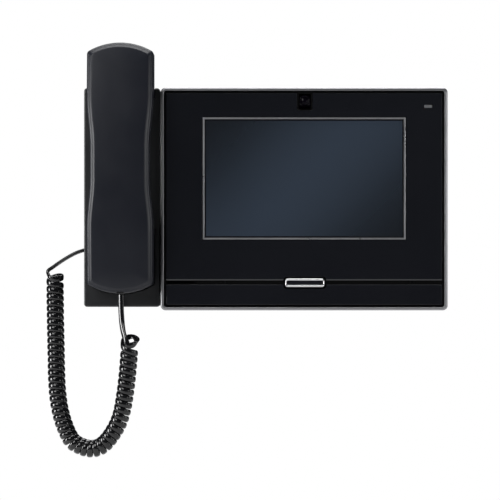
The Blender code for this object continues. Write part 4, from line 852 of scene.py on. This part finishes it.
def make_handset_inner():
    """Inner shell: ear and mouth ends with rounded edges, sound holes, hook slot and cord opening."""
    outside = [handset_ring(inset * MM, back_depth) for inset in (19.0, 13.0, 8.0)]
    for step in range(9):
        angle = math.pi / 2 * (1.0 - step / 8)
        inset = BACK_EDGE_RADIUS * (1.0 - math.cos(angle))
        rise = BACK_EDGE_RADIUS * (1.0 - math.sin(angle))
        outside.append(handset_ring(inset, lambda z, rise=rise: back_depth(z) + rise))
    parting = (PARTING_DROP + PARTING_GAP) / MM
    outside += face_rings([(0.0, parting + 0.25), (0.12, parting)])
    inside = face_rings([(1.9, parting), (2.0, parting + 0.2)])
    for inset, rise in ((2.0, 2.3), (2.6, 0.8), (4.4, 0.0), (9.0, 0.0), (19.0, 0.0)):
        inside.append(handset_ring(inset * MM, lambda z, rise=rise: inner_back_depth(z) + rise * MM))
    mesh = shell(outside, inside)
    cuts = [depth_rod(HANDSET_X, z, 40 * MM, 50 * MM, 1.7 * MM) for z in HANDSET_SCREW_Z]
    cuts.append(depth_rod(HANDSET_X, RECEIVER_Z, 15 * MM, 26 * MM, MM))
    for index in range(6):
        angle = FULL_TURN * index / 6
        cuts.append(depth_rod(HANDSET_X + 5 * MM * math.cos(angle), RECEIVER_Z + 5 * MM * math.sin(angle),
                              15 * MM, 26 * MM, MM))
    for index in (-1, 0, 1):
        cuts.append(depth_rod(HANDSET_X + index * 4 * MM, HANDSET_MIC_Z, 25 * MM, 33 * MM, 0.8 * MM))
    cuts.append(box_mesh(centred(HANDSET_X, 8.4 * MM), centred(CORD_EXIT_DEPTH, 6.8 * MM),
                         (HANDSET_BOTTOM - 5 * MM, HANDSET_BOTTOM + 3.2 * MM)))
    cuts.append(slanted_block(centred(HANDSET_X, 11.2 * MM), 22.6 * MM, EAR_STEP_Z - 2.4 * MM,
                              3.6 * MM, 7.4 * MM))
    place_piece("handset_inner_shell_fine", combine(mesh, cuts), "charcoal", "handset",
                "handset_inner_shell")


def slanted_block(x, start_depth, z, thickness, height):
    """A block that leans outwards as it rises, parallel to the handset's way out."""
    rings = []
    for rise in (0.0, height):
        near = start_depth + rise / HOOK_SLOPE
        far = near + thickness
        rings.append([(x[0], -near, z + rise), (x[1], -near, z + rise),
                      (x[1], -far, z + rise), (x[0], -far, z + rise)])
    return finish_mesh(stack(rings))


def make_notch_shade_grommet():
    """Dark rubber bush in the notch where the cord leaves, put there as painted shade so that the notch
    reads as shaded inside.
    """
    depth = (41.2 * MM, face_depth(HANDSET_BOTTOM) - 4.4 * MM)
    z = (HANDSET_BOTTOM - 0.1 * MM, HANDSET_BOTTOM + 1.3 * MM)
    profile = [(0.25 * MM, depth[0]), (0.0, depth[0] + 0.3 * MM), (0.0, depth[1] - 0.3 * MM),
               (0.25 * MM, depth[1])]
    mesh = plate(centred(HANDSET_X, 5 * MM), z, 0.5 * MM, profile)
    place_piece("notch_shade_grommet", mesh, "soft_rubber", "handset")


# ---------- cradle

CRADLE_X = (-173.9 * MM, -113.8 * MM)
CRADLE_Z = (-85.2 * MM, 87.8 * MM)
CRADLE_BACK = 6.2 * MM
CRADLE_FRONT = 32.0 * MM
CRADLE_WALL = 2.0 * MM
CRADLE_RIM_RADIUS = 1.2 * MM
CRADLE_SCREW_Z = (52.0 * MM, -76.0 * MM)
PLUNGER_Z = -48.0 * MM
JACK_PLACE = (15.0 * MM, -40.0 * MM)
DISH_FLOOR = MOUTH_BACK_DEPTH - 0.3 * MM
DISH_ROOM = 0.55 * MM
DISH_TOP_Z = -23.7 * MM
DISH_SIDE_Z = -45.0 * MM


def dish_tool(extra):
    """The hollow for the handset's mouth end; it follows the end's outline, with room round it."""
    def ring(room, depth):
        half = HANDSET_HALF_WIDTH + room + extra
        end = end_arc(-(room + extra), upwards=False, arc_steps=10, corner_steps=5)
        right = [(half, DISH_TOP_Z + room + extra), (half, DISH_SIDE_Z), *reversed(end)]
        points = [(HANDSET_X + x, -depth, z) for x, z in right]
        return points + [(HANDSET_X - x, -depth, z) for x, z in reversed(right[:-1])]

    floor = DISH_FLOOR - extra
    levels = [(-0.9 * MM, floor), (-0.25 * MM, floor + 0.3 * MM), (0.0, floor + MM),
              (0.0, CRADLE_FRONT - 0.35 * MM), (0.4 * MM, CRADLE_FRONT + 0.05 * MM),
              (0.4 * MM, CRADLE_FRONT + MM)]
    return finish_mesh(stack([ring(DISH_ROOM + more, depth) for more, depth in levels]))


def pocket_tool(extra):
    """The pocket in the cradle's top that takes the handset's ear end."""
    half = HANDSET_HALF_WIDTH + 0.7 * MM + extra
    return box_mesh(centred(HANDSET_X, 2 * half), (EAR_BACK_DEPTH - 2 * MM - extra, CRADLE_FRONT + 5 * MM),
                    (EAR_STEP_Z - 0.3 * MM - extra, CRADLE_Z[1] + 5 * MM), MM)


def make_cradle_front():
    """Front shell with rounded rims, the ear pocket and its hook tab, and the mouth hollow."""
    rim = [(0.0, CRADLE_BACK), (0.0, CRADLE_FRONT - CRADLE_RIM_RADIUS - 0.1 * MM)]
    for step in range(1, 7):
        angle = math.pi / 2 * step / 6
        rim.append((CRADLE_RIM_RADIUS * (1.0 - math.cos(angle)),
                    CRADLE_FRONT - CRADLE_RIM_RADIUS * (1.0 - math.sin(angle))))
    mesh = plate(CRADLE_X, CRADLE_Z, 2.5 * MM, rim, 8)
    hollow = box_mesh((CRADLE_X[0] + CRADLE_WALL, CRADLE_X[1] - CRADLE_WALL),
                      (0.0, CRADLE_FRONT - CRADLE_WALL),
                      (CRADLE_Z[0] + CRADLE_WALL, CRADLE_Z[1] - CRADLE_WALL), MM)
    hollow = combine(hollow, [pocket_tool(CRADLE_WALL), dish_tool(CRADLE_WALL)])
    mesh = combine(mesh, [pocket_tool(0.0), dish_tool(0.0), hollow])
    boss_ends = (CRADLE_FRONT - 1.4 * MM, DISH_FLOOR - 0.8 * MM)
    added = [depth_rod(HANDSET_X, z, CRADLE_BACK + 0.2 * MM, end, 3.2 * MM, 24)
             for z, end in zip(CRADLE_SCREW_Z, boss_ends)]
    added.append(slanted_block(centred(HANDSET_X, 10 * MM), 25.4 * MM, EAR_STEP_Z - 0.8 * MM,
                               2.4 * MM, 3.7 * MM))
    cuts = [depth_rod(HANDSET_X, z, 4 * MM, 17 * MM, 1.5 * MM) for z in CRADLE_SCREW_Z]
    cuts.append(depth_rod(HANDSET_X, PLUNGER_Z, 20 * MM, 40 * MM, 4.0 * MM, 40))
    cuts.append(box_mesh(centred(CRADLE_X[0], 10 * MM), centred(JACK_PLACE[0], 10.0 * MM),
                         centred(JACK_PLACE[1], 11.2 * MM)))
    mesh = combine(combine(mesh, added, "UNION"), cuts)
    soften(place_piece("cradle_front_fine", mesh, "case_black", "unit", "cradle_front"), 0.2 * MM, 2, 40.0)


# ---------- monitor front

BODY_HALF_WIDTH = 113.15 * MM
BODY_HALF_HEIGHT = 87.8 * MM
PANEL_HALF_WIDTH = 108.85 * MM
PANEL_TOP = 83.5 * MM
PANEL_BACK = 35.8 * MM
GROOVE_TOP = -64.4 * MM
GROOVE_BOTTOM = -67.4 * MM
SCREEN_CENTRE_Z = 16.2 * MM
FRAME_SIZE = (160.0 * MM, 96.3 * MM)
FRAME_INNER = (157.2 * MM, 93.5 * MM)
GLASS_BORDER = 0.95 * MM
CENTRE_LINE_X = 0.5 * MM
TALK_Z = -66.1 * MM
TALK_SIZE = (31.8 * MM, 7.7 * MM)
TALK_CORE = (28.0 * MM, 3.0 * MM)
CAMERA_Z = 76.8 * MM
APERTURE = (11.8 * MM, 13.8 * MM)
STATUS_PLACE = (97.8 * MM, 73.0 * MM)
STATUS_SIZE = (6.0 * MM, 2.1 * MM)
FIT = 0.3 * MM
EYE_CENTRE = Vector((CENTRE_LINE_X, -29.8 * MM, 77.2 * MM))
EYE_AIM = Matrix.Rotation(-math.radians(9.0), 4, "X")


def make_trim_ring():
    """Silver rim with a rounded lip."""
    profile = [(0.8, 29.0), (0.25, 29.2), (0.0, 29.8), (0.0, 36.5), (0.03, 36.82), (0.12, 37.12),
               (0.28, 37.38), (0.52, 37.60), (0.85, 37.77), (1.25, 37.89), (1.7, 37.96), (2.05, 37.98),
               (2.2, 37.96), (2.32, 37.88), (2.4, 37.72), (2.4, 35.85), (1.0, 35.8), (1.0, 29.1)]
    mesh = framed(centred(0.0, 2 * BODY_HALF_WIDTH), centred(0.0, 2 * BODY_HALF_HEIGHT),
                  4.0 * MM, metres(profile), 10, 0.75)
    place_piece("trim_ring_fine", mesh, "rim_silver", "unit", "trim_ring")


def panel_mesh(z, top_bevel, bottom_bevel):
    """A gloss panel; its top and bottom edges may be cut back more than its sides."""
    side_bevel = 0.35 * MM
    rings = []
    for share, rise in ((0.0, 0.0), (0.0, 1.0), (0.12, 1.35), (0.85, 1.75), (1.0, 1.8), (1.3, 1.8)):
        width = 2 * (PANEL_HALF_WIDTH - side_bevel * share)
        heights = (z[0] + bottom_bevel * share, z[1] - top_bevel * share)
        rings.append(raised(outline(centred(0.0, width), heights, 0.6 * MM - side_bevel * share, 4),
                            PANEL_BACK + rise * MM))
    return finish_mesh(stack(rings), 20.0)


def make_panels():
    """Upper panel with its screen, camera and light openings, and the strip below the groove."""
    def opening(x, z, size, room, corner):
        return box_mesh(centred(x, size[0] + room), (30 * MM, 45 * MM), centred(z, size[1] + room), corner)

    recess = opening(CENTRE_LINE_X, TALK_Z, TALK_SIZE, 2 * MM, 2.6 * MM)
    tools = [recess.copy(), opening(0.0, SCREEN_CENTRE_Z, FRAME_SIZE, 2 * FIT, 0.6 * MM),
             opening(CENTRE_LINE_X, CAMERA_Z, APERTURE, 2 * FIT, 1.8 * MM),
             opening(*STATUS_PLACE, STATUS_SIZE, 2 * FIT, 0.3 * MM)]
    upper = combine(panel_mesh((GROOVE_TOP, PANEL_TOP), 0.35 * MM, 1.3 * MM), tools)
    lower = combine(panel_mesh((-PANEL_TOP, GROOVE_BOTTOM), 0.9 * MM, 0.35 * MM), [recess])
    for name, mesh in (("front_panel", upper), ("lower_panel", lower)):
        soften(place_piece(name + "_fine", mesh, "gloss_black", "unit", name), 0.28 * MM, 3)


def make_screen():
    """Silver line that slopes in towards the glass, and the glass with a dark ground edge."""
    profile = [(0.12, 35.8), (0.12, 37.6), (0.2, 37.82), (0.34, 37.88), (1.16, 37.76), (1.3, 37.7),
               (1.36, 37.55), (1.36, 35.8)]
    mesh = framed(centred(0.0, FRAME_SIZE[0]), centred(SCREEN_CENTRE_Z, FRAME_SIZE[1]),
                  0.5 * MM, metres(profile), 4)
    # the line takes the brighter copy of the rim's silver, which is painted light
    place_piece("screen_frame_fine", mesh, "rim_silver", "unit", "screen_frame",
                material=MATERIALS["lit_frame_silver"])
    glass = [(0.0, 35.8), (0.0, 36.75), (0.08, 36.92), (0.3, 37.0), (1.0, 37.0)]
    width, height = [side - 2 * FIT for side in FRAME_INNER]
    mesh = plate(centred(0.0, width), centred(SCREEN_CENTRE_Z, height), 0.4 * MM, metres(glass), 4)
    place_piece("touch_panel_fine", mesh, "screen_glass", "unit", "touch_panel")
    mesh.materials.append(MATERIALS["gloss_black"])
    for face in mesh.polygons:
        from_side = width / 2 - abs(face.center.x)
        from_end = height / 2 - abs(face.center.z - SCREEN_CENTRE_Z)
        face.material_index = 1 if min(from_side, from_end) < GLASS_BORDER else 0


def make_talk_button():
    """Chrome ring with rounded bars and a black bar in it; both press in together."""
    width, height = TALK_SIZE[0] - 0.8 * MM, TALK_SIZE[1] - 0.9 * MM
    bar = (height - TALK_CORE[1]) / 2 - 0.15 * MM
    end = 1.05 * MM
    profile = [(0.0, 36.5), (0.0, 37.9), (0.05, 38.2), (0.16, 38.5), (0.32, 38.7), (0.52, 38.8),
               (0.70, 38.76), (0.85, 38.6), (0.95, 38.3), (1.0, 37.9), (1.0, 36.5)]
    rings = [raised(outline(centred(CENTRE_LINE_X, width - 2 * end * share),
                            centred(TALK_Z, height - 2 * bar * share), (2.1 - 1.3 * share) * MM, 8),
                    depth * MM) for share, depth in profile]
    place_piece("talk_ring_fine", finish_mesh(stack(rings, closed=True), 50.0), "chrome",
                "talk_button", "talk_button_ring")
    cap = metres([(0.0, 32.6), (0.0, 37.75), (0.12, 38.02), (0.35, 38.16), (0.7, 38.2)])
    mesh = plate(centred(CENTRE_LINE_X, TALK_CORE[0]), centred(TALK_Z, TALK_CORE[1]), 0.7 * MM, cap)
    flange = box_mesh(centred(CENTRE_LINE_X, TALK_CORE[0] + 3 * MM), (32.0 * MM, 33.2 * MM),
                      centred(TALK_Z, TALK_CORE[1] + 3 * MM), 0.5 * MM)
    stem = depth_rod(CENTRE_LINE_X, TALK_Z, 31.9 * MM, 32.4 * MM, 2 * MM, 24)
    mesh = combine(mesh, [flange, stem], "UNION")
    place_piece("talk_cap_fine", mesh, "gloss_black", "talk_button", "talk_button_cap")


def make_camera_eye():
    """Rounded eye on stub axles with a bore for its lens, and the coated lens in two steps."""
    def aimed(distance):
        return EYE_CENTRE + EYE_AIM @ Vector((0, -distance * MM, 0))

    eye = [(0.0, 4.7), (5.9, 4.7), (6.25, 4.55), (6.4, 4.2), (6.4, -4.2), (6.25, -4.55), (5.9, -4.7),
           (0.0, -4.7)]
    mesh = turned(metres(eye), EYE_CENTRE, (1, 0, 0), 72)
    half_axle = Vector((7.4 * MM, 0, 0))
    mesh = combine(mesh, [rod(EYE_CENTRE - half_axle, EYE_CENTRE + half_axle, 1.2 * MM)], "UNION")
    mesh = combine(mesh, [rod(aimed(4.2), aimed(8.0), 4.3 * MM, 64)])
    place_piece("camera_eye_fine", mesh, "gloss_black", "camera_eye_body", "camera_eye",
                material=MATERIALS["lens_glass"])
    lens = [(0.0, 1.9), (0.9, 1.86), (1.7, 1.72), (2.3, 1.48), (2.55, 1.30), (2.65, 1.12), (2.9, 1.10),
            (3.05, 1.32), (3.3, 1.50), (3.75, 1.52), (3.95, 1.42), (4.0, 1.2), (4.0, 0.0), (0.0, 0.0)]
    mesh = turned(metres(lens), aimed(4.5), EYE_AIM @ Vector((0, -1, 0)), 64)
    place_piece("camera_lens_fine", mesh, "lens_glass", "camera_eye_body", "camera_lens")


# ---------- small details behind and inside

SOCKET_X = 14.0 * MM
CONTACT_PITCH = 1.02 * MM
TERMINAL_X = -25.4 * MM
TERMINAL_PITCH = 5.2 * MM


def join_pieces(meshes):
    """Several closed meshes in one."""
    bm = bmesh.new()
    for mesh in meshes:
        bm.from_mesh(mesh)
    return finish_mesh(bm)


def make_socket_contacts():
    """Eight sprung contacts in the network socket."""
    springs = []
    for index in range(8):
        x = centred(SOCKET_X + (index - 3.5) * CONTACT_PITCH, 0.4 * MM)
        rings = []
        for depth, z in metres([(17.3, 16.0), (14.5, 16.6), (11.5, 17.9), (9.6, 18.1)]):
            rings.append(raised([(x[0], z), (x[1], z), (x[1], z + 0.3 * MM), (x[0], z + 0.3 * MM)], depth))
        springs.append(finish_mesh(stack(rings)))
    place_piece("socket_contacts", join_pieces(springs), "steel", "unit", material=MATERIALS["contact_gold"])


def make_terminal_screws():
    """Slotted clamp screws on the terminal block, each turned its own way."""
    heads = []
    for index in range(5):
        base = Vector((TERMINAL_X + index * TERMINAL_PITCH, -14.8 * MM, 26.0 * MM))
        head = turned(metres([(0.0, 0.55), (1.2, 0.55), (1.45, 0.35), (1.5, 0.0), (0.0, 0.0)]),
                      base, (0, 0, 1), 24)
        turn = math.radians(25.0 + 31.0 * index)
        reach = Vector((math.cos(turn), math.sin(turn), 0)) * 2.0 * MM
        across = Vector((-math.sin(turn), math.cos(turn), 0)) * 0.22 * MM
        rings = []
        for rise in (0.3 * MM, 1.3 * MM):
            middle = base + Vector((0, 0, rise))
            rings.append([middle - reach - across, middle + reach - across,
                          middle + reach + across, middle - reach + across])
        heads.append(combine(head, [finish_mesh(stack(rings))]))
    place_piece("terminal_screws", join_pieces(heads), "steel", "unit")


OTHER_SLOTS = {"monitor_microphone": "soft_rubber", "cord_plug_base": "case_black",
               "cord_plug_handset": "case_black"}
EDGE_RADII = {                          # millimetres
    "wall_bracket": 0.25, "cradle_joiner": 0.2, "lan_jack": 0.25, "rear_case": 0.35, "front_case": 0.2,
    "cradle_rear": 0.35, "card_door": 0.2, "terminal_block": 0.25, "camera_surround": 0.15,
    "hook_switch_plunger": 0.2, "cord_plug_base": 0.4, "cord_plug_handset": 0.4, "status_window": 0.2,
    "card_socket": 0.2, "main_board": 0.1, "monitor_speaker": 0.4,
}


def dress_nodes():
    """Materials for the CAD nodes, and small radii along the edges of those that show."""
    for name, slot in {**CAD_SLOTS, **OTHER_SLOTS}.items():
        CAD_NODES[name].data.materials[0] = MATERIALS[slot]
    # painted shade: the front case and camera surround take the darker black
    for name in ("front_case", "camera_surround"):
        CAD_NODES[name].data.materials[0] = MATERIALS["shade_black"]
    for name, width in EDGE_RADII.items():
        weld = CAD_NODES[name].modifiers.new("weld", "WELD")
        weld.merge_threshold = 0.002 * MM
        merge = CAD_NODES[name].modifiers.new("merge_flat_faces", "DECIMATE")
        merge.decimate_type = "DISSOLVE"
        merge.angle_limit = math.radians(1.0)
        soften(CAD_NODES[name], width * MM, 2, 40.0)


make_camera()
make_lights()
make_world()
make_cord()
make_floor()
make_handset_outer()
make_handset_inner()
make_notch_shade_grommet()
make_cradle_front()
make_trim_ring()
make_panels()
make_screen()
make_talk_button()
make_camera_eye()
make_socket_contacts()
make_terminal_screws()
dress_nodes()
